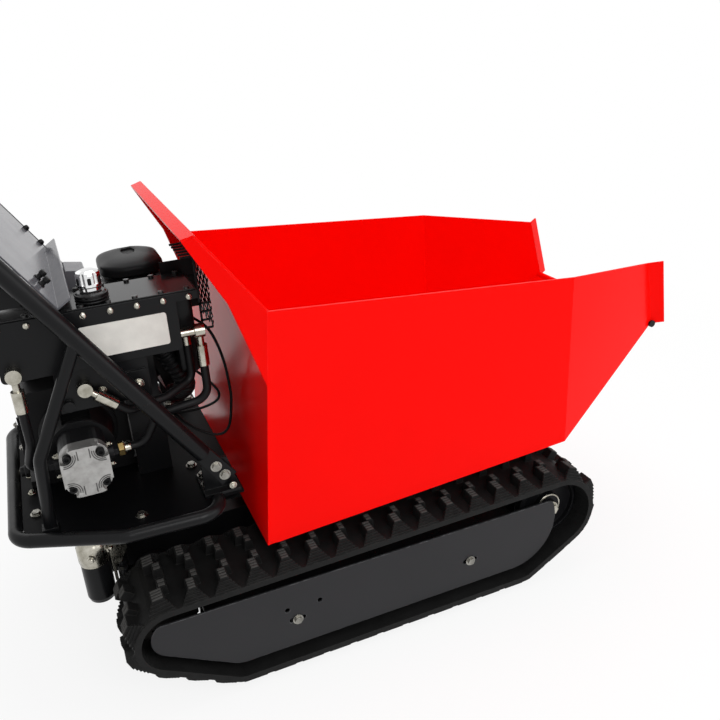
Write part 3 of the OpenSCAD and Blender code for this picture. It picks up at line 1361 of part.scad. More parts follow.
fuel_tank();
fuel_cap();
muffler();
mesh_guard();
bell_housing();
gear_pump();
pump_cover();
pump_bolts();
hydraulic_tank();
tank_cover();
tank_bolts();
breather_cap();
hoses();
hose_fittings();
oil_filter();
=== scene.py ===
import bpy
import bmesh
import json
import math
from mathutils import Matrix, Vector
from mathutils.geometry import tessellate_polygon


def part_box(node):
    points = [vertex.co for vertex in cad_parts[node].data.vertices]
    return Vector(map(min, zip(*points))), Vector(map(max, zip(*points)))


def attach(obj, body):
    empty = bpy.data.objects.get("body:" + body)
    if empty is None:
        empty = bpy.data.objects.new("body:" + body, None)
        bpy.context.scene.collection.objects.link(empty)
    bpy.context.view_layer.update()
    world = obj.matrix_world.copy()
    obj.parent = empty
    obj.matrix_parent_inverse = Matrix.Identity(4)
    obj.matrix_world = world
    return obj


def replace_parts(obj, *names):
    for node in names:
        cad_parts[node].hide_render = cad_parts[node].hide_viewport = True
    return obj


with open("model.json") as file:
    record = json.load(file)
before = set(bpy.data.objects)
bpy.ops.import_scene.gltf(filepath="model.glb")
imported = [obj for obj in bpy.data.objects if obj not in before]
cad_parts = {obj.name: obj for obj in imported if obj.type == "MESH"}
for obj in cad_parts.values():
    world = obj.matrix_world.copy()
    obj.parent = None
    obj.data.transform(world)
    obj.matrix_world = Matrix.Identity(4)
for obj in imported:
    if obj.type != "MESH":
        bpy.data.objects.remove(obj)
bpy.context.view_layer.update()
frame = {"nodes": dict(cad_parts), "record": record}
nodes = frame["nodes"]
scene = bpy.context.scene


# Camera: place and turn fitted to the photo, which has no shift
CAM_AT = Vector((-0.5253, -1.5239, 1.2030))
CAM_RIGHT = Vector((0.917, -0.395, -0.0558))
CAM_UP = Vector((0.207, 0.3515, 0.913))
CAM_BACK = Vector((-0.341, -0.8488, 0.4041))
cam_data = bpy.data.cameras.new("camera")
cam_data.lens = 38.844
cam_data.sensor_width = 36.0
cam_data.clip_end = 60.0
camera = bpy.data.objects.new("camera", cam_data)
scene.collection.objects.link(camera)
turn = Matrix((CAM_RIGHT, CAM_UP, CAM_BACK)).transposed().to_quaternion().normalized()
camera.matrix_world = Matrix.Translation(CAM_AT) @ turn.to_matrix().to_4x4()
scene.camera = camera
scene.view_settings.view_transform = "Standard"


# Node helpers
class Nodes:
    """A new material and short ways to wire its nodes."""
    def __init__(self, name):
        self.mat = bpy.data.materials.new(name)
        self.mat.use_nodes = True
        self.tree = self.mat.node_tree
        self.bsdf = self.tree.nodes["Principled BSDF"]
        self.coord = self.add("ShaderNodeTexCoord").outputs["Object"]

    def add(self, kind, **values):
        node = self.tree.nodes.new(kind)
        for key, value in values.items():
            setattr(node, key, value)
        return node

    def link(self, a, b):
        self.tree.links.new(a, b)

    def noise(self, scale, detail=4.0, rough=0.55, stretch=None):
        node = self.add("ShaderNodeTexNoise")
        node.inputs["Scale"].default_value = scale
        node.inputs["Detail"].default_value = detail
        node.inputs["Roughness"].default_value = rough
        source = self.coord
        if stretch:
            mapping = self.add("ShaderNodeMapping")
            mapping.inputs["Scale"].default_value = stretch
            self.link(source, mapping.inputs["Vector"])
            source = mapping.outputs["Vector"]
        self.link(source, node.inputs["Vector"])
        return node.outputs["Fac"]

    def cells(self, scale):
        node = self.add("ShaderNodeTexVoronoi", feature="F1")
        node.inputs["Scale"].default_value = scale
        self.link(self.coord, node.inputs["Vector"])
        return node.outputs["Distance"]

    def band(self, value, lo, hi, a=0.0, b=1.0):
        """Maps lo to hi onto a to b."""
        node = self.add("ShaderNodeMapRange")
        node.inputs["From Min"].default_value = lo
        node.inputs["From Max"].default_value = hi
        node.inputs["To Min"].default_value = a
        node.inputs["To Max"].default_value = b
        self.link(value, node.inputs["Value"])
        return node.outputs["Result"]

    def math(self, operation, a, b):
        node = self.add("ShaderNodeMath", operation=operation)
        for socket, value in zip(node.inputs, (a, b)):
            if isinstance(value, (int, float)):
                socket.default_value = value
            else:
                self.link(value, socket)
        return node.outputs[0]

    def mix(self, factor, a, b):
        node = self.add("ShaderNodeMix", data_type="RGBA")
        self.link(factor, node.inputs["Factor"])
        for socket, value in ((node.inputs[6], a), (node.inputs[7], b)):
            if isinstance(value, tuple):
                socket.default_value = (*value, 1.0)
            else:
                self.link(value, socket)
        return node.outputs[2]

    def up(self):
        """1 on faces that look up, -1 on those that look down."""
        node = self.add("ShaderNodeSeparateXYZ")
        self.link(self.add("ShaderNodeTexCoord").outputs["Normal"], node.inputs[0])
        return node.outputs["Z"]

    def edge(self, radius):
        """1 near a convex or concave edge, 0 on flat faces."""
        bevel = self.add("ShaderNodeBevel", samples=4)
        bevel.inputs["Radius"].default_value = radius
        geometry = self.add("ShaderNodeNewGeometry")
        dot = self.add("ShaderNodeVectorMath", operation="DOT_PRODUCT")
        self.link(bevel.outputs["Normal"], dot.inputs[0])
        self.link(geometry.outputs["Normal"], dot.inputs[1])
        return self.band(dot.outputs["Value"], 0.98, 0.80), bevel.outputs["Normal"]

    def bump(self, height, strength, distance, normal=None):
        node = self.add("ShaderNodeBump")
        node.inputs["Strength"].default_value = strength
        node.inputs["Distance"].default_value = distance
        self.link(height, node.inputs["Height"])
        if normal is not None:
            self.link(normal, node.inputs["Normal"])
        self.link(node.outputs["Normal"], self.bsdf.inputs["Normal"])

    def set(self, **values):
        """Sets inputs of the main shader by their names."""
        for key, value in values.items():
            self.bsdf.inputs[key.replace("_", " ").title().replace("Ior", "IOR")].default_value = value

    def color(self, output):
        self.link(output, self.bsdf.inputs["Base Color"])

    def rough(self, output):
        self.link(output, self.bsdf.inputs["Roughness"])


# Radii of softened edges, scales of the moulded grain and the height between the two kinds of rim bolts
METAL_EDGE = 0.0008
RUBBER_EDGE = 0.0022
PLASTIC_EDGE = 0.0012
BOLT_EDGE = 0.0014
RUBBER_GRAIN, PLASTIC_GRAIN = 900.0, 700.0
RIM_SPLIT = (0.7755, 0.7760)


def paint(name, base, wear_and_highlight_tone, dust, rough, shine=0.16, wear_and_highlight_share=0.5, wear_and_highlight_radius=0.0016, peel=0.00006,
          dusty=0.2, mottle=0.9):
    """Painted steel: slight shade changes, orange peel, dust on upper faces, thin lighter edges that are
    wear, and on the red paint and the grey plates also a painted highlight.
    """
    n = Nodes(name)
    shade = n.mix(n.band(n.noise(7.0, 5.0), 0.35, 0.7), base, tuple(mottle * c for c in base))
    edge, soft_normal = n.edge(wear_and_highlight_radius)
    # Edges turned towards the lighter edge tone: real wear, and on the red paint and grey plates also a
    # painted highlight
    wear_and_highlight_mask = n.math("MULTIPLY", edge, n.band(n.noise(60.0, 6.0), 0.42, 0.62, 0.0, wear_and_highlight_share))
    shade = n.mix(wear_and_highlight_mask, shade, wear_and_highlight_tone)
    top = n.band(n.up(), 0.6, 0.98)
    settled = n.math("MULTIPLY", top, n.band(n.noise(34.0, 8.0, 0.65), 0.4, 0.75, 0.0, dusty))
    n.color(n.mix(settled, shade, dust))
    n.rough(n.band(n.noise(16.0, 6.0), 0.3, 0.75, rough * 0.88, rough * 1.15))
    n.set(specular_ior_level=shine)
    n.bump(n.noise(260.0, 3.0), 0.3, peel, soft_normal)
    return n.mat


def metal(name, base, dark, rough, grain=120.0, metallic=1.0, stretch=None):
    """Bare or plated metal with a fine grain and dull patches."""
    n = Nodes(name)
    patch = n.noise(45.0, 7.0, 0.6)
    n.color(n.mix(n.band(patch, 0.35, 0.72), base, dark))
    n.rough(n.band(n.noise(90.0, 5.0), 0.3, 0.7, rough * 0.7, rough * 1.45))
    n.set(metallic=metallic)
    _, soft_normal = n.edge(METAL_EDGE)
    n.bump(n.noise(grain * 8, 3.0, 0.6, stretch), 0.3, 0.00008, soft_normal)
    return n.mat


def rubber(name, base, dusty, rough, dust_amount):
    """Rubber with a fine grain and scuffed, dusty edges."""
    n = Nodes(name)
    broad = n.noise(22.0, 6.0, 0.62)
    shade = n.mix(n.band(broad, 0.35, 0.7), base, tuple(1.35 * c for c in base))
    edge, soft_normal = n.edge(RUBBER_EDGE)
    scuff = n.math("MULTIPLY", edge, n.band(n.noise(80.0, 5.0), 0.38, 0.62, 0.0, dust_amount))
    shade = n.mix(scuff, shade, dusty)
    n.color(shade)
    n.rough(n.band(n.noise(50.0, 6.0), 0.3, 0.7, rough * 0.85, min(1.0, rough * 1.15)))
    n.set(specular_ior_level=0.16)
    n.bump(n.noise(RUBBER_GRAIN, 4.0, 0.6), 0.4, 0.00015, soft_normal)
    return n.mat


def plastic(name, base, rough):
    """Moulded plastic with a fine grain of cells."""
    n = Nodes(name)
    n.color(n.mix(n.band(n.noise(18.0, 5.0), 0.35, 0.7), base, tuple(1.25 * c for c in base)))
    n.rough(n.band(n.noise(40.0, 5.0), 0.3, 0.7, rough * 0.85, rough * 1.2))
    n.set(specular_ior_level=0.2)
    _, soft_normal = n.edge(PLASTIC_EDGE)
    n.bump(n.cells(PLASTIC_GRAIN), 0.25, 0.0001, soft_normal)
    return n.mat


def rim_bolts():
    """Bright heads on the tank's side, blackened heads on its cover."""
    n = Nodes("rim_bolts")
    height = n.add("ShaderNodeSeparateXYZ")
    n.link(n.coord, height.inputs[0])
    upper = n.band(height.outputs["Z"], *RIM_SPLIT)
    n.color(n.mix(upper, (0.52, 0.50, 0.46), (0.012, 0.012, 0.012)))
    n.link(n.band(upper, 0.0, 1.0, 1.0, 0.0), n.bsdf.inputs["Metallic"])
    n.rough(n.band(n.noise(90.0, 5.0), 0.3, 0.7, 0.2, 0.4))
    _, soft_normal = n.edge(BOLT_EDGE)
    n.bump(n.noise(700.0, 3.0), 0.3, 0.00008, soft_normal)
    return n.mat


BLACK, BLACK_WORN, DARK_DUST = (0.0052, 0.0054, 0.006), (0.06, 0.06, 0.06), (0.03, 0.029, 0.028)
M = {
    # Red paint: its pinkish edge tone is partly wear and partly a painted highlight along the hopper's edges
    "red_paint": paint("red_paint", (0.90, 0.0015, 0.0004), (0.95, 0.05, 0.045), (0.80, 0.03, 0.02), 0.20,
                       shine=0.05, wear_and_highlight_share=0.5, peel=0.00002, dusty=0.05, mottle=0.97),
    "black_paint": paint("black_paint", BLACK, BLACK_WORN, DARK_DUST, 0.30),
    # Grey plates: their bright edge tone is partly bare worn steel and partly a painted highlight along the
    # top edges
    "plate_grey": paint("plate_grey", (0.020, 0.020, 0.022), (0.26, 0.26, 0.27), (0.07, 0.069, 0.067), 0.32,
                        shine=0.2, wear_and_highlight_share=0.9, wear_and_highlight_radius=0.0022, peel=0.00010),
    "panel_grey": paint("panel_grey", (0.115, 0.115, 0.128), (0.42, 0.42, 0.44), (0.36, 0.35, 0.34), 0.20,
                        shine=0.22, wear_and_highlight_share=0.4),
    "track_rubber": rubber("track_rubber", (0.0062, 0.0062, 0.0062), (0.030, 0.0295, 0.028), 0.62, 0.9),
    "soft_rubber": rubber("soft_rubber", (0.0045, 0.0045, 0.005), (0.014, 0.014, 0.014), 0.42, 0.4),
    "zinc_steel": metal("zinc_steel", (0.50, 0.48, 0.42), (0.27, 0.255, 0.205), 0.22),
    "bright_steel": metal("bright_steel", (0.82, 0.82, 0.82), (0.66, 0.66, 0.67), 0.08),
    "wheel_black": paint("wheel_black", (0.006, 0.006, 0.007), (0.08, 0.08, 0.077), DARK_DUST, 0.42),
    "engine_black": paint("engine_black", (0.0065, 0.0065, 0.007), (0.05, 0.05, 0.05), DARK_DUST, 0.45,
                          peel=0.00018),
    "pump_alloy": metal("pump_alloy", (0.42, 0.415, 0.405), (0.30, 0.295, 0.285), 0.42, 60.0, 0.85,
                        (1.0, 1.0, 0.12)),
    "black_plastic": plastic("black_plastic", (0.0058, 0.0058, 0.0062), 0.40),
    "guard_black": paint("guard_black", (0.0045, 0.0045, 0.005), (0.03, 0.03, 0.03), (0.025, 0.024, 0.023),
                         0.46),
    "lug_top": rubber("lug_top", (0.052, 0.051, 0.049), (0.10, 0.098, 0.092), 0.8, 1.0),
    "label_white": plastic("label_white", (0.62, 0.61, 0.57), 0.3),
    "brass": metal("brass", (0.50, 0.36, 0.15), (0.30, 0.21, 0.08), 0.3),
    "dull_steel": metal("dull_steel", (0.060, 0.058, 0.055), (0.030, 0.029, 0.028), 0.5),
    "alloy_line": metal("alloy_line", (0.15, 0.148, 0.145), (0.10, 0.099, 0.097), 0.5),
    "bolt_steel": metal("bolt_steel", (0.34, 0.33, 0.30), (0.16, 0.155, 0.14), 0.25),
    "deck_black": paint("deck_black", (0.0030, 0.0031, 0.0036), (0.05, 0.05, 0.05), (0.012, 0.012, 0.012),
                        0.34, shine=0.03, dusty=0.1),
    "cover_grey": paint("cover_grey", (0.009, 0.009, 0.0095), BLACK_WORN, (0.03, 0.03, 0.029), 0.32,
                        shine=0.05, peel=0.00012),
    "gloss_black": paint("gloss_black", BLACK, BLACK_WORN, DARK_DUST, 0.16,
                         shine=0.30, peel=0.00003, dusty=0.1),
    "rim_bolts": rim_bolts(),
}

OWN_FINISH = {
    "sprocket_right": "dull_steel",
    "sprocket_left": "dull_steel",
    "hex_bolts": "bolt_steel",
    "deck_plate": "deck_black",
    "tank_bolts": "rim_bolts",
    "tank_cover": "gloss_black",
}
body_of = {node: body for body, held in frame["record"]["behaviour"]["bodies"].items() for node in held}
for part in frame["record"]["subparts"]:
    obj = nodes[part["node"]]
    obj.data.materials.clear()
    obj.data.materials.append(M[OWN_FINISH.get(part["node"], part["material_slot"])])


# New pieces
SHARP_ANGLE = math.radians(35)
TIP_R = 0.00005
X_AXIS, Y_AXIS, Z_AXIS = Vector((1, 0, 0)), Vector((0, 1, 0)), Vector((0, 0, 1))


def piece(name, verts, faces, material, body="chassis", smooth=False):
    """A new object with its material and slot, riding on a body."""
    mesh = bpy.data.meshes.new(name)
    mesh.from_pydata([tuple(v) for v in verts], [], faces)
    mesh.validate()
    bm = bmesh.new()
    bm.from_mesh(mesh)
    bmesh.ops.recalc_face_normals(bm, faces=bm.faces)
    bm.to_mesh(mesh)
    bm.free()
    for poly in mesh.polygons:
        poly.use_smooth = smooth
    if smooth:
        mesh.set_sharp_from_angle(angle=SHARP_ANGLE)
    mesh.materials.append(M[material])
    obj = bpy.data.objects.new(name, mesh)
    scene.collection.objects.link(obj)
    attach(obj, body)
    return obj


def circle_at(at, side, other, radius, steps):
    """Points on a circle round a place, in the plane of two directions."""
    turns = [math.tau * k / steps for k in range(steps)]
    return [at + (side * math.cos(a) + other * math.sin(a)) * radius for a in turns]


def way_at(pts, i):
    """Direction of a line of points at one of them."""
    return (pts[min(i + 1, len(pts) - 1)] - pts[max(i - 1, 0)]).normalized()


class Mesh:
    """Collects simple closed solids in one mesh."""
    def __init__(self):
        self.v = []
        self.f = []

    def hexa(self, low, high):
        """A closed solid between two rings of the same number of points."""
        self.sweep([low, high])

    def sweep(self, rings, closed=False):
        """A solid through a row of rings, with flat ends or closed to a loop."""
        n = len(rings[0])
        base = len(self.v)
        for ring in rings:
            self.v += list(ring)
        count = len(rings)
        for k in range(count if closed else count - 1):
            a = base + k * n
            b = base + ((k + 1) % count) * n
            for i in range(n):
                j = (i + 1) % n
                self.f.append((a + i, a + j, b + j, b + i))
        if not closed:
            self.f.append(tuple(base + i for i in reversed(range(n))))
            self.f.append(tuple(base + (count - 1) * n + i for i in range(n)))

    def lathe(self, at, axis, profile, steps):
        """Turns (radius, height) pairs about an axis; the first and last radius close the ends."""
        axis = Vector(axis).normalized()
        side = axis.orthogonal().normalized()
        other = axis.cross(side)
        self.sweep([circle_at(Vector(at) + axis * h, side, other, max(r, TIP_R), steps) for r, h in profile])

    def tube(self, points, radii, sides, normal=None):
        """A tube along a line, with a radius at each point."""
        pts = [Vector(p) for p in points]
        rings = []
        for i, (p, r) in enumerate(zip(pts, radii)):
            way = way_at(pts, i)
            if normal is None:
                normal = way.orthogonal().normalized()
            normal = (normal - way * normal.dot(way)).normalized()
            rings.append(circle_at(p, normal, way.cross(normal), r, sides))
        self.sweep(rings)

    def block(self, lo, hi):
        """A box between two corners."""
        base = [(lo[0], lo[1]), (hi[0], lo[1]), (hi[0], hi[1]), (lo[0], hi[1])]
        self.hexa([Vector((x, y, lo[2])) for x, y in base], [Vector((x, y, hi[2])) for x, y in base])

    def bolt(self, at, axis, r, h):
        """A washer, a hexagon head with a chamfer and a small stub."""
        self.lathe(at, axis, [(1.3 * r, 0.0), (1.35 * r, 0.1 * h), (1.3 * r, 0.2 * h)], 20)
        self.lathe(at, axis, [(r, 0.15 * h), (r, 0.75 * h), (0.82 * r, 0.9 * h)], 6)
        self.lathe(at, axis, [(0.5 * r, 0.8 * h), (0.5 * r, 1.1 * h), (0.3 * r, 1.2 * h)], 14)

    def done(self, name, material, body="chassis", smooth=False):
        return piece(name, self.v, self.f, material, body, smooth)


def arc(at, radius, start, end, steps):
    """Points on an arc, from one angle to another in degrees."""
    turns = [math.radians(start + (end - start) * k / steps) for k in range(steps + 1)]
    return [(at[0] + radius * math.cos(a), at[1] + radius * math.sin(a)) for a in turns]


def rounded_rect(w, h, r, steps=6):
    """Points round a rectangle with round corners."""
    x, z = w / 2 - r, h / 2 - r
    out = []
    for cx, cz, turn in ((x, z, 0), (-x, z, 90), (-x, -z, 180), (x, -z, 270)):
        out += arc((cx, cz), r, turn, turn + 90, steps)
    return out


def smooth_path(points, steps=8):
    """A smooth line through the points (Catmull-Rom)."""
    pts = [Vector(p) for p in points]
    pts = [2 * pts[0] - pts[1]] + pts + [2 * pts[-1] - pts[-2]]
    out = []
    for a, b, c, d in zip(pts, pts[1:], pts[2:], pts[3:]):
        for k in range(steps):
            s = k / steps
            out.append(0.5 * (2 * b + (c - a) * s + (2 * a - 5 * b + 4 * c - d) * s * s
                              + (3 * b - a - 3 * c + d) * s ** 3))
    return out + [pts[-2]]


# Belt path, repeated from the source in millimetres
TEETH = 7
PITCH = 60.0
BELT_T = 12.0
LUG_H = 20.0
TRACK_Y, LUG_TOP, FIRST_LUG = 270.0, 262.0, 47.0
WHEEL_R = TEETH * PITCH / (2 * math.pi) - BELT_T / 2
WHEEL_Z = LUG_TOP - WHEEL_R - BELT_T - LUG_H
PATH_C = [(307.0, 62.0), (397.0, 168.0), (-457.0, WHEEL_Z), (-335.0, 62.0)]
PATH_R = [30.0, 77.0, WHEEL_R, 30.0]
CORD = BELT_T / 2


def leave_angle(i):
    """Angle in degrees at which the belt leaves a wheel for the next one."""
    j = (i + 1) % 4
    dx, dz = PATH_C[j][0] - PATH_C[i][0], PATH_C[j][1] - PATH_C[i][1]
    lean = math.asin((PATH_R[i] - PATH_R[j]) / math.hypot(dx, dz))
    return math.degrees(math.atan2(dz, dx)) - 90 + math.degrees(lean)


PATH_END = [leave_angle(0), leave_angle(1), leave_angle(2) + 360, 270.0]
PATH_START = [-90.0, PATH_END[0], PATH_END[1], PATH_END[2]]
PART_LEN = []
for i in range(4):
    j = (i + 1) % 4
    PART_LEN.append(math.radians(PATH_END[i] - PATH_START[i]) * (PATH_R[i] + CORD))
    d = math.hypot(PATH_C[j][0] - PATH_C[i][0], PATH_C[j][1] - PATH_C[i][1])
    PART_LEN.append(math.sqrt(d * d - (PATH_R[j] - PATH_R[i]) ** 2))
BELT_LEN = sum(PART_LEN)
LUG_N = round(BELT_LEN / PITCH)
LUG_GAP = BELT_LEN / LUG_N
LUG_ZERO = sum(PART_LEN[:3]) + PATH_C[1][0] + FIRST_LUG


def belt_at(s, h):
    """Place in side view at a length along the belt and a height over its inner face."""
    w = s % BELT_LEN
    k = 0
    while k < 7 and w >= PART_LEN[k]:
        w -= PART_LEN[k]
        k += 1
    i = k // 2
    a = math.radians(PATH_START[i]) + w / (PATH_R[i] + CORD) if k % 2 == 0 else math.radians(PATH_END[i])
    run = 0.0 if k % 2 == 0 else w
    return (PATH_C[i][0] + (PATH_R[i] + h) * math.cos(a) - run * math.sin(a),
            PATH_C[i][1] + (PATH_R[i] + h) * math.sin(a) + run * math.cos(a))


# Worn pads on the lugs: each row's shift along the belt, its length and the ribs' places across the belt
PAD_H = 1.1
PAD_SINK = 0.4
PAD_TAPER = 0.9
PAD_MARGIN = 1.3
PAD_CLEAR = 0.5
PAD_ROWS = ((0.0, 17.0, [(39.6 + 8.0 * k, 46.0 + 8.0 * k) for k in range(4)]),
            (11.0, 14.0, [(16.4, 25.4), (27.2, 36.4)]))


def lug_pads(side, name):
    """Ribbed worn pads on the lugs' tops: small ribs moulded across each block."""
    m = Mesh()
    for i in range(LUG_N):
        for shift, length, ribs in PAD_ROWS:
            s = LUG_ZERO + i * LUG_GAP - shift
            a = belt_at(s - length / 2, BELT_T + LUG_H)
            b = belt_at(s + length / 2, BELT_T + LUG_H)
            t = Vector((b[0] - a[0], 0, b[1] - a[1]))
            chord = t.length
            t.normalize()
            out = Vector((t.z, 0, -t.x))
            mid = Vector(((a[0] + b[0]) / 2, 0, (a[1] + b[1]) / 2))
            if (mid + out * PAD_H).z < PAD_CLEAR:
                continue
            for w0, w1 in ribs:
                for m_side in (-1, 1):
                    lo, hi = sorted((m_side * w0, m_side * w1))
                    rings = []
                    for lift, inset in ((-PAD_SINK, 0.0), (PAD_H, PAD_TAPER)):
                        u, v, w = chord / 2 - PAD_MARGIN - inset, lo + inset, hi - inset
                        ring = []
                        for along, across in ((-u, v), (u, v), (u, w), (-u, w)):
                            p = mid + t * along + out * lift
                            ring.append(Vector((p.x, side * TRACK_Y + across, p.z)) / 1000)
                        rings.append(ring)
                    m.hexa(*rings)
    m.done(name, "lug_top")


lug_pads(-1, "lug_pads_right")
lug_pads(1, "lug_pads_left")


# Side plates, drawn out over the sprockets, in millimetres
PLATE_LOW = 53.0
PLATE_TOP = 203.0
PLATE_FACE = 345.0
PLATE_T = 5.0
PLATE_EDGE = 0.8
FRONT_AT, FRONT_R, FRONT_CORNER = (284.0, 163.0), 110.0, 14.0
REAR_R, REAR_CORNER, BELLY_R = 42.0, 10.0, 60.0
SLOT_AT = (-218.0, 176.0)
SLOT_Z = 116.0
SLOT_HALF = 12.0
SLOT_R = 5.1
SPARE_HOLES, SPARE_R = ((-237.0, 144.0), (-169.0, 144.0)), 5.0


def plate_outline():
    """The plate's edge, anticlockwise from its lower front end, inside the belt's line."""
    corner_z = PLATE_TOP - FRONT_CORNER
    corner_x = math.sqrt((FRONT_R - FRONT_CORNER) ** 2 - (corner_z - FRONT_AT[1]) ** 2)
    front_turn = math.degrees(math.atan2(corner_z - FRONT_AT[1], corner_x))
    front = arc(FRONT_AT, FRONT_R, -90.0, front_turn, 30)
    front += arc((FRONT_AT[0] + corner_x, corner_z), FRONT_CORNER, front_turn, 90.0, 8)[1:]
    wheel = PATH_C[2]
    rear_z = PLATE_TOP - REAR_CORNER
    rear_x = -math.sqrt((REAR_R - REAR_CORNER) ** 2 - (rear_z - wheel[1]) ** 2)
    rear_turn = math.degrees(math.atan2(rear_z - wheel[1], rear_x))
    slope = PATH_END[2]
    rear = arc((wheel[0] + rear_x, rear_z), REAR_CORNER, 90.0, rear_turn, 8)
    rear += arc(wheel, REAR_R, rear_turn, slope, 20)[1:]
    out = (math.cos(math.radians(slope)), math.sin(math.radians(slope)))
    reach = out[0] * wheel[0] + out[1] * wheel[1] + REAR_R
    belly_z = PLATE_LOW + BELLY_R
    belly_x = (reach - BELLY_R - out[1] * belly_z) / out[0]
    return front + rear + arc((belly_x, belly_z), BELLY_R, slope, 270.0, 10)


def drawn_in(loop, inset):
    """The loop moved to its left by inset: inwards for the edge, outwards for a hole run backwards."""
    out = []
    for p, q, r in zip([loop[-1]] + loop[:-1], loop, loop[1:] + [loop[0]]):
        way = Vector((r[0] - p[0], r[1] - p[1])).normalized()
        out.append((q[0] - way.y * inset, q[1] + way.x * inset))
    return out


def side_plate(side, name, node):
    """A plate with chamfered edges, two bolt slots and two spare holes."""
    loops = [plate_outline()]
    for x in SLOT_AT:
        slot = arc((x + SLOT_HALF, SLOT_Z), SLOT_R, -90.0, 90.0, 10)
        loops.append((slot + arc((x - SLOT_HALF, SLOT_Z), SLOT_R, 90.0, 270.0, 10))[::-1])
    loops += [arc(at, SPARE_R, 0.0, 345.0, 23)[::-1] for at in SPARE_HOLES]
    levels = [(PLATE_EDGE, PLATE_FACE), (0.0, PLATE_FACE - PLATE_EDGE),
              (0.0, PLATE_FACE - PLATE_T + PLATE_EDGE), (PLATE_EDGE, PLATE_FACE - PLATE_T)]
    m = Mesh()
    caps = {0: [], 3: []}
    for loop in loops:
        n = len(loop)
        base = len(m.v)
        for level, (inset, y) in enumerate(levels):
            ring = [Vector((x, side * y, z)) / 1000 for x, z in drawn_in(loop, inset)]
            if level in caps:
                caps[level].append((len(m.v), ring))
            m.v += ring
        for level in range(3):
            a, b = base + level * n, base + (level + 1) * n
            m.f += [(a + i, a + (i + 1) % n, b + (i + 1) % n, b + i) for i in range(n)]
    for rings in caps.values():
        index = [start + i for start, ring in rings for i in range(len(ring))]
        m.f += [tuple(index[i] for i in tri) for tri in tessellate_polygon([ring for _, ring in rings])]
    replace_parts(m.done(name, "plate_grey"), node)


side_plate(-1, "cover_plate_right", "side_plate_right")
side_plate(1, "cover_plate_left", "side_plate_left")

# Zinc retaining rings on the idlers' hubs
HUB_RING = [(0.0262, 0.0), (0.0298, 0.0), (0.0302, 0.0004), (0.0302, 0.0012), (0.0296, 0.0018),
            (0.0266, 0.0018)]
HUB_FACE, RING_STEPS = 0.3149, 48
hub_x, hub_z = PATH_C[1][0] / 1000, PATH_C[1][1] / 1000
for side, node in ((-1, "idler_right"), (1, "idler_left")):
    hub_ring = Mesh()
    rings = []
    for k in range(RING_STEPS):
        a = math.tau * k / RING_STEPS
        rings.append([Vector((hub_x + r * math.cos(a), side * (HUB_FACE + h), hub_z + r * math.sin(a)))
                      for r, h in HUB_RING])
    hub_ring.sweep(rings, closed=True)
    hub_ring.done(node + "_ring", "zinc_steel", body_of[node], smooth=True)

# Blank plate on the hydraulic tank's near face
BLANK_X = -0.430
BLANK_Z = 0.7175
BLANK_W = 0.150
BLANK_H = 0.060
BLANK_CORNER = 0.005
BLANK_SINK, BLANK_RISE, BLANK_TAPER = 0.0002, 0.0008, (0.994, 0.986)
tank_lo, tank_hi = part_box("hydraulic_tank")
blank = Mesh()
blank_edge = rounded_rect(BLANK_W, BLANK_H, BLANK_CORNER)
blank_face = [(x * BLANK_TAPER[0], z * BLANK_TAPER[1]) for x, z in blank_edge]
blank.hexa([Vector((BLANK_X + x, tank_lo.y + BLANK_SINK, BLANK_Z + z)) for x, z in blank_edge],
           [Vector((BLANK_X + x, tank_lo.y - BLANK_RISE, BLANK_Z + z)) for x, z in blank_face])
blank.done("blank_plate", "label_white")

# Cast ridges on the pump's cover: arcs round its four bolts and short straight ribs between them
RIDGE_W, RIDGE_H, RIDGE_SINK = 0.0022, 0.0012, 0.0004
EAR_X = 0.033
EAR_Z = 0.0345
EAR_RADII = (0.0152, 0.0188)
EAR_TURNS = range(-58, 59, 6)
SHORT_X, SHORT_STARTS, SHORT_STEP = 0.0105, (-0.044, 0.0264), 0.0088
pump_lo, pump_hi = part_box("pump_cover")
px, pz = (pump_lo.x + pump_hi.x) / 2, (pump_lo.z + pump_hi.z) / 2
ridges = Mesh()


def ridge(points):
    """A low ridge with slanting flanks along a line on the cover's face."""
    pts = [Vector((x, pump_lo.y, z)) for x, z in points]
    rings = []
    for i, p in enumerate(pts):
        way = way_at(pts, i)
        s = Vector((way.z, 0, -way.x)) * RIDGE_W
        foot, crest = p + Y_AXIS * RIDGE_SINK, p - Y_AXIS * RIDGE_H
        rings.append([foot + s / 2, foot - s / 2, crest - s / 4, crest + s / 4])
    ridges.sweep(rings)


for sx in (-1, 1):
    for sz in (-1, 1):
        cx, cz = px + sx * EAR_X, pz + sz * EAR_Z
        base = math.atan2(-sz, -sx)
        turns = [base + math.radians(v) for v in EAR_TURNS]
        for radius in EAR_RADII:
            ridge([(cx + radius * math.cos(a), cz + radius * math.sin(a)) for a in turns])
for dx in (-SHORT_X, SHORT_X):
    for start in SHORT_STARTS:
        ridge([(px + dx, pz + start + SHORT_STEP * k) for k in range(3)])
ridges.done("pump_ridges", "alloy_line")

# Ribbed rings round the filler collar
COLLAR_RING = [(0.0225, 0.0), (0.0285, 0.0006), (0.0290, 0.0020), (0.0285, 0.0034), (0.0225, 0.0040)]
COLLAR_DROP, COLLAR_STEP = 0.0168, 0.0052
cap_lo, cap_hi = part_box("breather_cap")
fx, fy = (cap_lo.x + cap_hi.x) / 2, (cap_lo.y + cap_hi.y) / 2
collar = Mesh()
for k in range(3):
    collar.lathe((fx, fy, cap_lo.z - COLLAR_DROP + COLLAR_STEP * k), Z_AXIS, COLLAR_RING, 40)
collar.done("filler_rings", "black_plastic")


def plan_ring(mid, size, corner, inset, z, steps=6):
    """A rounded rectangle in plan, drawn in by inset."""
    outline = rounded_rect(size[0] - 2 * inset, size[1] - 2 * inset, corner - inset, steps)
    return [Vector((mid[0] + x, mid[1] + y, z)) for x, y in outline]


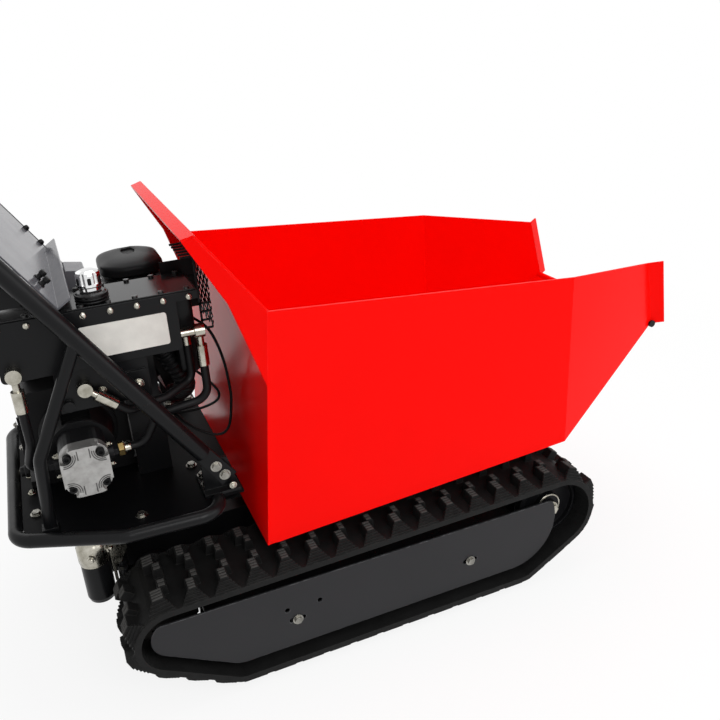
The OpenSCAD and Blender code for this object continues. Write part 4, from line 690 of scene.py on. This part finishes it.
# Muffler: rounded cover with a dish in its top, over a ribbed band
COVER_R = 0.046
COVER_STEPS = 10
COVER_ROLL = 0.010
COVER_CROWN = 0.004
COVER_H = 0.027
FOOT_INSET = 0.006
FOOT_H = 0.003
CROWN_SHARE = 0.3
CROWN_RISE = 0.0012
DISH = (0.014, 0.027)
DISH_X = 0.004
DISH_Y = 0.046
DISH_DEPTH = 0.006
DISH_LIP = 0.0015
BRIM_SHARE = 1.25
FLOOR_SHARE = 0.9
PATCH_SHARE = 0.93
PATCH_T = 0.002
BAND_INSET = 0.012
BAND_LAP = 0.002
BAND_START = 0.002
BAND_STEP = 0.0098
BAND_RIB = ((0.005, 0.0), (0.003, 0.0012), (0.003, 0.0028), (0.005, 0.004))
muffler_lo, muffler_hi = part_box("muffler")
cover_at = (muffler_lo + muffler_hi) / 2
dish_at = (cover_at.x + DISH_X, muffler_hi.y - DISH_Y)
cover_top = muffler_hi.z
cover_foot = cover_top - COVER_H


def cover_ring(inset, z):
    """The cover's rounded outline in plan, drawn in by inset."""
    return plan_ring(cover_at, muffler_hi - muffler_lo, COVER_R, inset, z, COVER_STEPS)


def dish_ring(share, z):
    """An oval round the dish, with its points in line with those of the cover's outline."""
    out = []
    for p in cover_ring(COVER_ROLL, z):
        a = math.atan2((p.y - dish_at[1]) / DISH[1], (p.x - dish_at[0]) / DISH[0])
        x, y = share * DISH[0] * math.cos(a), share * DISH[1] * math.sin(a)
        out.append(Vector((dish_at[0] + x, dish_at[1] + y, z)))
    return out


cover_rings = [cover_ring(FOOT_INSET, cover_foot), cover_ring(0.0, cover_foot + FOOT_H)]
for k in range(6):
    a = math.radians(15 * k)
    z = cover_top - COVER_CROWN - COVER_ROLL * (1 - math.sin(a))
    cover_rings.append(cover_ring(COVER_ROLL * (1 - math.cos(a)), z))
crown = dish_ring(BRIM_SHARE, cover_top)
cover_rings.append([p.lerp(q, CROWN_SHARE) + Z_AXIS * CROWN_RISE for p, q in zip(cover_rings[-1], crown)])
cover_rings += [crown, dish_ring(1.0, cover_top - DISH_LIP), dish_ring(FLOOR_SHARE, cover_top - DISH_DEPTH)]
cover = Mesh()
cover.sweep(cover_rings)
cover_piece = cover.done("muffler_cover", "cover_grey", smooth=True)
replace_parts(cover_piece, "muffler")
dish = Mesh()
dish_z = cover_top - DISH_DEPTH
dish.hexa(dish_ring(PATCH_SHARE, dish_z - PATCH_T / 2), dish_ring(PATCH_SHARE, dish_z + PATCH_T / 2))
dish.done("cover_dish", "guard_black")
band = Mesh()
band.hexa(cover_ring(BAND_INSET, muffler_lo.z), cover_ring(BAND_INSET, cover_foot + BAND_LAP))
for k in range(5):
    z = muffler_lo.z + BAND_START + BAND_STEP * k
    band.sweep([cover_ring(inset, z + rise) for inset, rise in BAND_RIB])
band.done("muffler_band", "engine_black", smooth=True)

# Guard of expanded mesh beside the muffler, with its strap, slats and a sheet behind it
GUARD_W = 0.023
GUARD_D = 0.112
GUARD_CELL = 0.027
BAR_GAP = 0.0162
BAR_CLEAR = 0.002
STRAND_W, STRAND_T = 0.0040, 0.0016
STRAP_W, STRAP_T, STRAP_RISE = 0.014, 0.004, 0.060
SLAT_START = 0.004
SLAT_STEP = 0.0205
SLAT_W = 0.006
SLAT_REACH = 0.020
SLAT_LAP = 0.002
SLAT_DROP = (0.005, 0.002)
SHEET_T, SHEET_X, SHEET_Z = 0.002, (0.003, 0.002), (0.010, 0.034)
guard_lo, guard_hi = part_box("mesh_guard")


def strands(mesh, corner, along, up, size):
    """Diamond mesh on one face: two families of thin strands, cut at the face's edges."""
    normal = along.cross(up)
    thick = normal * STRAND_T / 2
    a, b = size
    for lean in (1, -1):
        for k in range(int((a + b) / GUARD_CELL) + 1):
            c = (k + 0.5) * GUARD_CELL - (b if lean == 1 else 0.0)
            v0, v1 = (max(0.0, -c), min(b, a - c)) if lean == 1 else (max(0.0, c - a), min(b, c))
            if v1 - v0 < STRAND_W:
                continue
            ends = [corner + along * (c + lean * v) + up * v for v in (v0, v1)]
            side = normal.cross((ends[1] - ends[0]).normalized()) * STRAND_W / 2
            section = (side + thick, thick - side, -side - thick, side - thick)
            mesh.hexa(*[[p + q for q in section] for p in ends])


guard = Mesh()
guard_near = guard_hi.x - GUARD_W
guard_rise = guard_hi.z - guard_lo.z
half_t = STRAND_T / 2
strands(guard, Vector((guard_hi.x - half_t, guard_lo.y, guard_lo.z)), Y_AXIS, Z_AXIS, (GUARD_D, guard_rise))
for k in range(4):
    z = guard_lo.z + BAR_GAP * k
    guard.block((guard_near, guard_lo.y, z), (guard_hi.x - BAR_CLEAR, guard_lo.y + STRAND_T, z + STRAND_W))
guard.block((guard_near, guard_lo.y, guard_lo.z), (guard_near + STRAND_W, guard_lo.y + STRAND_T, guard_hi.z))
strands(guard, Vector((guard_near, guard_lo.y, guard_hi.z - half_t)), X_AXIS, Y_AXIS, (GUARD_W, GUARD_D))
strap_y, strap_z = guard_lo.y + GUARD_D, guard_lo.z + STRAP_RISE
guard.block((guard_lo.x, strap_y - STRAP_T, strap_z), (guard_hi.x, strap_y, strap_z + STRAP_W))
guard.block((guard_lo.x, strap_y - STRAP_T, strap_z), (guard_lo.x + STRAP_W, guard_hi.y, strap_z + STRAP_W))
for k in range(6):
    y = guard_lo.y + SLAT_START + SLAT_STEP * k
    guard.block((guard_near - SLAT_REACH, y, guard_hi.z - SLAT_DROP[0]),
                (guard_near + SLAT_LAP, y + SLAT_W, guard_hi.z - SLAT_DROP[1]))
guard.block((guard_lo.x + SHEET_X[0], strap_y - SHEET_T, guard_lo.z + SHEET_Z[0]),
            (guard_hi.x - SHEET_X[1], strap_y, guard_hi.z - SHEET_Z[1]))
guard_piece = guard.done("guard_mesh", "guard_black")
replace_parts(guard_piece, "mesh_guard")

# Domed heads over the bolts of the tank's rim
RIM_BOLTS, RIM_INSET, RIM_LIFT = 8, 0.005, 0.0008
DOME_R, DOME_H, DOME_SKIRT = 0.0058, 0.0036, 0.0012
rim_lo, rim_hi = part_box("tank_bolts")
first_x, last_x = rim_hi.x - RIM_INSET, rim_lo.x + RIM_INSET
turns = [math.radians(15 * j) for j in range(7)]
dome = [(DOME_R, 0.0)] + [(DOME_R * math.cos(a), DOME_SKIRT + DOME_H * math.sin(a)) for a in turns]
domes = Mesh()
for k in range(RIM_BOLTS):
    x = first_x + (last_x - first_x) * k / (RIM_BOLTS - 1)
    domes.lathe((x, tank_lo.y - RIM_LIFT, rim_lo.z + RIM_INSET), -Y_AXIS, dome, 24)
domes.done("rim_domes", "zinc_steel", smooth=True)

# Drawn end of the hydraulic tank under its rim
END_IN_X, END_IN_Y, END_Z = (0.041, 0.003), (0.060, 0.006), (0.598, 0.762)
END_CORNER = 0.009
END_EDGE = ((0.004, 0.0), (0.0012, 0.0012), (0.0, 0.004))
end_x = (tank_hi.x - END_IN_X[0], tank_hi.x - END_IN_X[1])
end_y = (tank_lo.y + END_IN_Y[0], tank_hi.y - END_IN_Y[1])


def end_ring(inset, y):
    """The end's rounded outline in side view, drawn in by inset."""
    w, h = end_x[1] - end_x[0] - 2 * inset, END_Z[1] - END_Z[0] - 2 * inset
    outline = rounded_rect(w, h, END_CORNER - inset)
    return [Vector((sum(end_x) / 2 + x, y, sum(END_Z) / 2 + z)) for x, z in outline]


tank_end = Mesh()
tank_end.sweep([end_ring(inset, end_y[0] + depth) for inset, depth in END_EDGE] + [end_ring(0.0, end_y[1])])
tank_end.done("tank_end", "black_paint", smooth=True)

# Bolts on the valve, at the pump's ports, on the deck and on the feet of the handle bars: radius and height
LARGE_BOLT, MIDDLE_BOLT, PORT_BOLT = (0.0075, 0.007), (0.0060, 0.006), (0.0048, 0.009)
DECK_BOLT, FOOT_BOLT, CASE_BOLT = (0.0058, 0.006), (0.0055, 0.005), (0.0048, 0.005)
VALVE_BOLTS = ((-0.4225, 0.0005, 0.622, LARGE_BOLT), (-0.4850, 0.0125, 0.619, MIDDLE_BOLT))
PORT_BOLT_X, PORT_BOLT_Y, PORT_BOLT_Z = 0.0415, 0.045, 0.021
DECK_BOLTS, DECK_SINK = ((-0.663, 0.033), (-0.651, 0.0), (-0.649, -0.070)), 0.0003
FOOT_BOLT_AT = (-0.291, 0.2548, 0.4005)
bolts = Mesh()
valve_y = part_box("control_valve")[0].y
for x, depth, z, size in VALVE_BOLTS:
    bolts.bolt((x, valve_y + depth, z), -Y_AXIS, *size)
for side in (-1, 1):
    for dz in (-PORT_BOLT_Z, PORT_BOLT_Z):
        at = (px + side * PORT_BOLT_X, pump_lo.y + PORT_BOLT_Y, pz + dz)
        bolts.bolt(at, side * X_AXIS, *PORT_BOLT)
deck_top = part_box("deck_plate")[1].z
for x, y in DECK_BOLTS:
    bolts.bolt((x, y, deck_top - DECK_SINK), Z_AXIS, *DECK_BOLT)
for side in (-1, 1):
    x, y, z = FOOT_BOLT_AT
    bolts.bolt((x, side * y, z), side * Y_AXIS, *FOOT_BOLT)
bolts.done("valve_bolts", "zinc_steel")

# Brass nut and sleeve where the pressure hose leaves the pump
PORT_NUT = [(0.0125, 0.0), (0.0135, 0.001), (0.0135, 0.010), (0.0120, 0.012)]
PORT_SLEEVE = [(0.0085, 0.011), (0.0105, 0.012), (0.0105, 0.022), (0.0098, 0.023), (0.0085, 0.0235)]
PORT_SINK, PORT_Y = 0.001, -0.178
port_at = Vector((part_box("gear_pump")[1].x - PORT_SINK, PORT_Y, pz))
port = Mesh()
port.lathe(port_at, X_AXIS, PORT_NUT, 6)
port.done("port_nut", "brass")
sleeve = Mesh()
sleeve.lathe(port_at, X_AXIS, PORT_SLEEVE, 24)
sleeve.done("port_sleeve", "zinc_steel", smooth=True)

# Block of the lever valves on the tank, beside the console
SPOOL_X = (-0.638, -0.577)
SPOOL_Y = (-0.190, -0.086)
SPOOL_H = 0.038
SPOOL_CORNER = 0.008
SPOOL_SINK = 0.0005
SPOOL_LIFT = 0.021
SPOOL_EDGE = ((0.0, 0.004), (0.0012, 0.0012), (0.004, 0.0))
SPOOL_CAP, CAP_START, CAP_STEP = [(0.0090, -0.001), (0.0090, 0.004), (0.0070, 0.006)], 0.022, 0.030
spool_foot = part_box("tank_cover")[0].z + SPOOL_LIFT
spool_top = spool_foot + SPOOL_H
spool_mid = (sum(SPOOL_X) / 2, sum(SPOOL_Y) / 2)


def spool_ring(inset, z):
    """The block's rounded outline in plan, drawn in by inset."""
    return plan_ring(spool_mid, (SPOOL_X[1] - SPOOL_X[0], SPOOL_Y[1] - SPOOL_Y[0]), SPOOL_CORNER, inset, z)


spool = Mesh()
spool.sweep([spool_ring(0.0, spool_foot - SPOOL_SINK)]
            + [spool_ring(inset, spool_top - drop) for inset, drop in SPOOL_EDGE])
for k in range(3):
    spool.lathe((spool_mid[0], SPOOL_Y[0] + CAP_START + CAP_STEP * k, spool_top), Z_AXIS, SPOOL_CAP, 24)
spool.done("spool_block", "black_paint", smooth=True)

# Small knobs and edge clips on the console
PANEL_OUT = Vector((0.84, 0.0, 0.55)).normalized()
KNOB = [(0.0068, -0.001), (0.0068, 0.003), (0.0046, 0.004), (0.0046, 0.009),
        (0.0062, 0.010), (0.0062, 0.016), (0.0046, 0.018)]
KNOBS = ((-0.550, -0.141, 0.828), (-0.5462, -0.166, 0.8222))
CLIP = [(0.0070, -0.001), (0.0070, 0.004), (0.0050, 0.008), (0.0030, 0.009)]
CLIPS = ((-0.557, 0.214, 0.8387), (-0.535, 0.214, 0.8051))
knobs = Mesh()
for at in KNOBS:
    knobs.lathe(at, PANEL_OUT, KNOB, 18)
for at in CLIPS:
    knobs.lathe(at, PANEL_OUT, CLIP, 6)
knobs.done("panel_knobs", "black_plastic", smooth=True)

# Black sheets round the breather cap where its window slots are: painted shade of the openings
WINDOW_W = 0.0062
WINDOW_H = 0.0120
WINDOW_CORNER = 0.0020
WINDOW_T = 0.0007
WINDOW_OUT, WINDOW_RISE = 0.0206, 0.0205
slot_shades = Mesh()
for k in range(6):
    a = math.radians(60 * k + 30)
    out, along = Vector((math.cos(a), math.sin(a), 0)), Vector((-math.sin(a), math.cos(a), 0))
    mid = Vector((fx, fy, cap_lo.z + WINDOW_RISE)) + out * WINDOW_OUT
    ring = [mid + along * x + Z_AXIS * z for x, z in rounded_rect(WINDOW_W, WINDOW_H, WINDOW_CORNER)]
    slot_shades.hexa(ring, [q + out * WINDOW_T for q in ring])
slot_shades.done("cap_slot_shades", "black_plastic", body_of["breather_cap"])

# Ribbed intake duct between tank and engine
DUCT_R = 0.0170
DUCT_RIB = 0.0030
DUCT_STEPS = 14
DUCT_SIDES = 28
DUCT_POINTS = [(-0.368, -0.092, 0.671), (-0.362, -0.092, 0.645), (-0.346, -0.090, 0.608),
               (-0.330, -0.082, 0.572), (-0.322, -0.058, 0.538), (-0.331, -0.030, 0.515),
               (-0.352, -0.018, 0.506)]
duct_line = smooth_path(DUCT_POINTS, DUCT_STEPS)
duct_radii = [DUCT_R + DUCT_RIB * (i % 4 in (1, 2)) for i in range(len(duct_line))]
duct = Mesh()
duct.tube(duct_line, duct_radii, DUCT_SIDES, Y_AXIS)
duct.done("intake_duct", "black_plastic", smooth=True)

# Thin cables that hang between two places on the engine, before the hopper's rear wall
CABLE_D, CABLE_SIDES = 0.0056, 8
CABLES = {
    "stop_cable": [(-0.323, 0.022, 0.690), (-0.312, 0.006, 0.690), (-0.292, -0.060, 0.682),
                   (-0.270, -0.118, 0.668), (-0.252, -0.122, 0.609), (-0.245, -0.120, 0.539),
                   (-0.247, -0.120, 0.502), (-0.257, -0.120, 0.456), (-0.277, -0.118, 0.440),
                   (-0.310, -0.112, 0.452), (-0.338, -0.085, 0.468), (-0.346, -0.056, 0.472),
                   (-0.353, -0.040, 0.472)],
    "sensor_cable": [(-0.323, 0.012, 0.560), (-0.314, 0.004, 0.559), (-0.292, -0.030, 0.550),
                     (-0.270, -0.058, 0.529), (-0.258, -0.064, 0.506), (-0.267, -0.064, 0.489),
                     (-0.298, -0.058, 0.478), (-0.335, -0.048, 0.474), (-0.353, -0.044, 0.474)],
}
for name, points in CABLES.items():
    line = smooth_path(points)
    cable = Mesh()
    cable.tube(line, [CABLE_D / 2] * len(line), CABLE_SIDES)
    piece_made = cable.done(name, "soft_rubber", smooth=True)

# Crankcase: flange bolts, oil plugs and stiffening ribs on the operator's side
RIB_T = 0.0040
RIB_H = 0.0022
RIB_START = 0.034
RIB_STEP = 0.036
RIB_Z = (0.050, 0.128)
OIL_PLUG = [(0.0135, 0.0), (0.0135, 0.006), (0.0115, 0.008), (0.0100, 0.008), (0.0100, 0.014),
            (0.0085, 0.016)]
PLUG_INSET = 0.018
PLUG_Z = 0.036
CASE_BOLT_INSET = 0.014
CASE_BOLT_Z = (0.140, 0.090)
CASE_SINK, CASE_BOLT_SINK = 0.001, 0.0005
engine_lo, engine_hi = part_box("engine")
rear = engine_lo.x
case = Mesh()
for k in range(5):
    y = engine_lo.y + RIB_START + RIB_STEP * k
    case.block((rear - RIB_H, y, engine_lo.z + RIB_Z[0]),
               (rear + CASE_SINK, y + RIB_T, engine_lo.z + RIB_Z[1]))
for y in (engine_lo.y + PLUG_INSET, engine_hi.y - PLUG_INSET):
    case.lathe((rear + CASE_SINK, y, engine_lo.z + PLUG_Z), -X_AXIS, OIL_PLUG, 28)
case.done("crankcase_ribs", "engine_black", smooth=True)
case_bolts = Mesh()
for y in (engine_lo.y + CASE_BOLT_INSET, engine_hi.y - CASE_BOLT_INSET):
    for dz in CASE_BOLT_Z:
        case_bolts.bolt((rear + CASE_BOLT_SINK, y, engine_lo.z + dz), -X_AXIS, *CASE_BOLT)
case_bolts.done("crankcase_bolts", "bolt_steel")

# Joint sleeves on the handle bars: rise over the bar and place along it
BAR_R = 0.0141
BAR_WAY = Vector((0.542, 0.0, -0.840)).normalized()
BAR_SLEEVE = ((-0.001, -0.003), (0.0004, -0.0028), (0.0008, 0.0), (0.0004, 0.0028), (-0.001, 0.003))
SLEEVE_AT = (-0.4215, 0.242, 0.6017)
sleeves = Mesh()
for side in (-1, 1):
    x, y, z = SLEEVE_AT
    sleeves.lathe((x, side * y, z), BAR_WAY, [(BAR_R + rise, h) for rise, h in BAR_SLEEVE], 40)
sleeves.done("bar_sleeves", "black_paint", smooth=True)

# Head of the oil filter with its ports and bracket, and the hanger beside it
FILTER_R, HEAD_LOW, HEAD_TOP = 0.028, 0.248, 0.300
HEAD_PORTS = ((-100, HEAD_TOP - 0.026), (-60, HEAD_TOP + 0.012), (-150, HEAD_TOP + 0.020),
              (-20, HEAD_TOP - 0.024))
FILTER_SINK, PORT_OUT = 0.001, 0.020
PORT_HEX = [(0.0085, 0.0), (0.0085, 0.013), (0.0070, 0.0145)]
PORT_STUB = [(0.0052, 0.012), (0.0052, 0.0185), (0.0040, 0.0195)]
BRACKET_Y = (-0.006, -0.002)
HANGER_X = (-0.004, 0.062)
HANGER_Y = (0.016, 0.040, 0.043)
HANGER_T = 0.004
HANGER_LOW = HEAD_LOW - 0.062
filter_lo, filter_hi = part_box("oil_filter")
filter_x, filter_y = (filter_lo.x + filter_hi.x) / 2, (filter_lo.y + filter_hi.y) / 2
filter_top = filter_hi.z - FILTER_SINK
head = Mesh()
head.lathe((filter_x, filter_y, 0), Z_AXIS, [
    (FILTER_R - 0.001, HEAD_LOW), (FILTER_R + 0.0006, HEAD_LOW + 0.001),
    (FILTER_R + 0.0006, HEAD_LOW + 0.006), (FILTER_R + 0.0020, HEAD_LOW + 0.008),
    (FILTER_R + 0.0020, HEAD_TOP - 0.012), (FILTER_R - 0.002, HEAD_TOP - 0.005),
    (0.0235, HEAD_TOP), (0.0225, HEAD_TOP + 0.004), (0.0225, filter_top)], 40)
for turn, z in HEAD_PORTS:
    a = math.radians(turn)
    out = Vector((math.cos(a), math.sin(a), 0))
    at = Vector((filter_x, filter_y, z)) + out * PORT_OUT
    head.lathe(at, out, PORT_HEX, 6)
    head.lathe(at, out, PORT_STUB, 18)
bracket = [(0.012, filter_top), (0.059, filter_top), (0.064, HEAD_LOW + 0.014), (0.048, HEAD_LOW - 0.016),
           (0.0365, HEAD_LOW - 0.022), (0.0365, HEAD_LOW - 0.056), (0.0300, HEAD_LOW - 0.056),
           (0.0300, HEAD_TOP - 0.014)]
head.hexa(*[[Vector((filter_x + x, filter_y + y, z)) for x, z in bracket] for y in BRACKET_Y])
hanger = Mesh()
hanger_lo, hanger_hi = filter_x + HANGER_X[0], filter_x + HANGER_X[1]
hanger.block((hanger_lo, filter_y + HANGER_Y[1], HANGER_LOW), (hanger_hi, filter_y + HANGER_Y[2], filter_top))
hanger.block((hanger_lo, filter_y + HANGER_Y[0], filter_top - HANGER_T),
             (hanger_hi, filter_y + HANGER_Y[2], filter_top))
hanger.done("filter_hanger", "black_paint")
head.done("filter_head", "zinc_steel", smooth=True)


# Floor, light and world
def plain_rays(tree):
    """1 on the rays that see the plain white round the object: camera, glossy and transmission rays."""
    path = tree.nodes.new("ShaderNodeLightPath")
    found = path.outputs["Is Camera Ray"]
    for ray in ("Is Glossy Ray", "Is Transmission Ray"):
        either = tree.nodes.new("ShaderNodeMath")
        either.operation = "MAXIMUM"
        tree.links.new(found, either.inputs[0])
        tree.links.new(path.outputs[ray], either.inputs[1])
        found = either.outputs[0]
    return found


def blend(tree, factor, first, second, output):
    """Mixes two shaders by a factor and makes them the surface."""
    mix = tree.nodes.new("ShaderNodeMixShader")
    for source, socket in zip((factor, first.outputs[0], second.outputs[0]), mix.inputs):
        tree.links.new(source, socket)
    tree.links.new(mix.outputs[0], output.inputs["Surface"])


def light(tree, kind, strength):
    """A white emitting shader of one kind."""
    node = tree.nodes.new(kind)
    node.inputs["Color"].default_value = (1, 1, 1, 1)
    node.inputs["Strength"].default_value = strength
    return node


FLOOR_HALF, FLOOR_Z, FLOOR_SHADE = 14.0, -0.0015, 0.95
FLOOR_FADE = (("From Min", 0.8), ("From Max", 2.4), ("To Min", 0.85), ("To Max", 1.0))
WORLD_LIT = 0.55


def floor():
    """A floor that takes the object's shadow and fades to plain white away from it."""
    mesh = bpy.data.meshes.new("floor")
    corners = ((-1, -1), (1, -1), (1, 1), (-1, 1))
    mesh.from_pydata([(FLOOR_HALF * x, FLOOR_HALF * y, FLOOR_Z) for x, y in corners], [], [(0, 1, 2, 3)])
    obj = bpy.data.objects.new("floor", mesh)
    scene.collection.objects.link(obj)
    mat = bpy.data.materials.new("floor")
    mat.use_nodes = True
    tree = mat.node_tree
    tree.nodes.clear()
    diffuse = tree.nodes.new("ShaderNodeBsdfDiffuse")
    diffuse.inputs["Color"].default_value = (FLOOR_SHADE, FLOOR_SHADE, FLOOR_SHADE, 1)
    reach = tree.nodes.new("ShaderNodeVectorMath")
    reach.operation = "LENGTH"
    tree.links.new(tree.nodes.new("ShaderNodeTexCoord").outputs["Object"], reach.inputs[0])
    fade = tree.nodes.new("ShaderNodeMapRange")
    for key, value in FLOOR_FADE:
        fade.inputs[key].default_value = value
    tree.links.new(reach.outputs["Value"], fade.inputs["Value"])
    part = tree.nodes.new("ShaderNodeMath")
    part.operation = "MULTIPLY"
    tree.links.new(plain_rays(tree), part.inputs[0])
    tree.links.new(fade.outputs["Result"], part.inputs[1])
    glow = light(tree, "ShaderNodeEmission", 1.0)
    blend(tree, part.outputs[0], diffuse, glow, tree.nodes.new("ShaderNodeOutputMaterial"))
    mesh.materials.append(mat)


floor()


def area(name, at, target, size, power):
    """A round light at a place, turned to a target."""
    data = bpy.data.lights.new(name, "AREA")
    data.shape = "DISK"
    data.size = size
    data.energy = power
    obj = bpy.data.objects.new(name, data)
    scene.collection.objects.link(obj)
    obj.location = at
    obj.rotation_euler = (Vector(target) - Vector(at)).to_track_quat("-Z", "Y").to_euler()


area("key", (0.5, -3.4, 2.7), (0.0, 0.0, 0.45), 2.2, 58)
area("fill", (2.6, -2.4, 1.9), (0.1, 0.0, 0.4), 2.4, 20)
area("top", (0.5, 0.6, 3.6), (0.0, 0.0, 0.3), 3.0, 46)
area("back", (-1.5, 2.8, 2.2), (0.0, 0.0, 0.5), 2.0, 6)

world = bpy.data.worlds.new("studio")
scene.world = world
world.use_nodes = True
tree = world.node_tree
tree.nodes.clear()
lit = light(tree, "ShaderNodeBackground", WORLD_LIT)
shown = light(tree, "ShaderNodeBackground", 1.0)
blend(tree, plain_rays(tree), lit, shown, tree.nodes.new("ShaderNodeOutputWorld"))

bpy.context.view_layer.update()
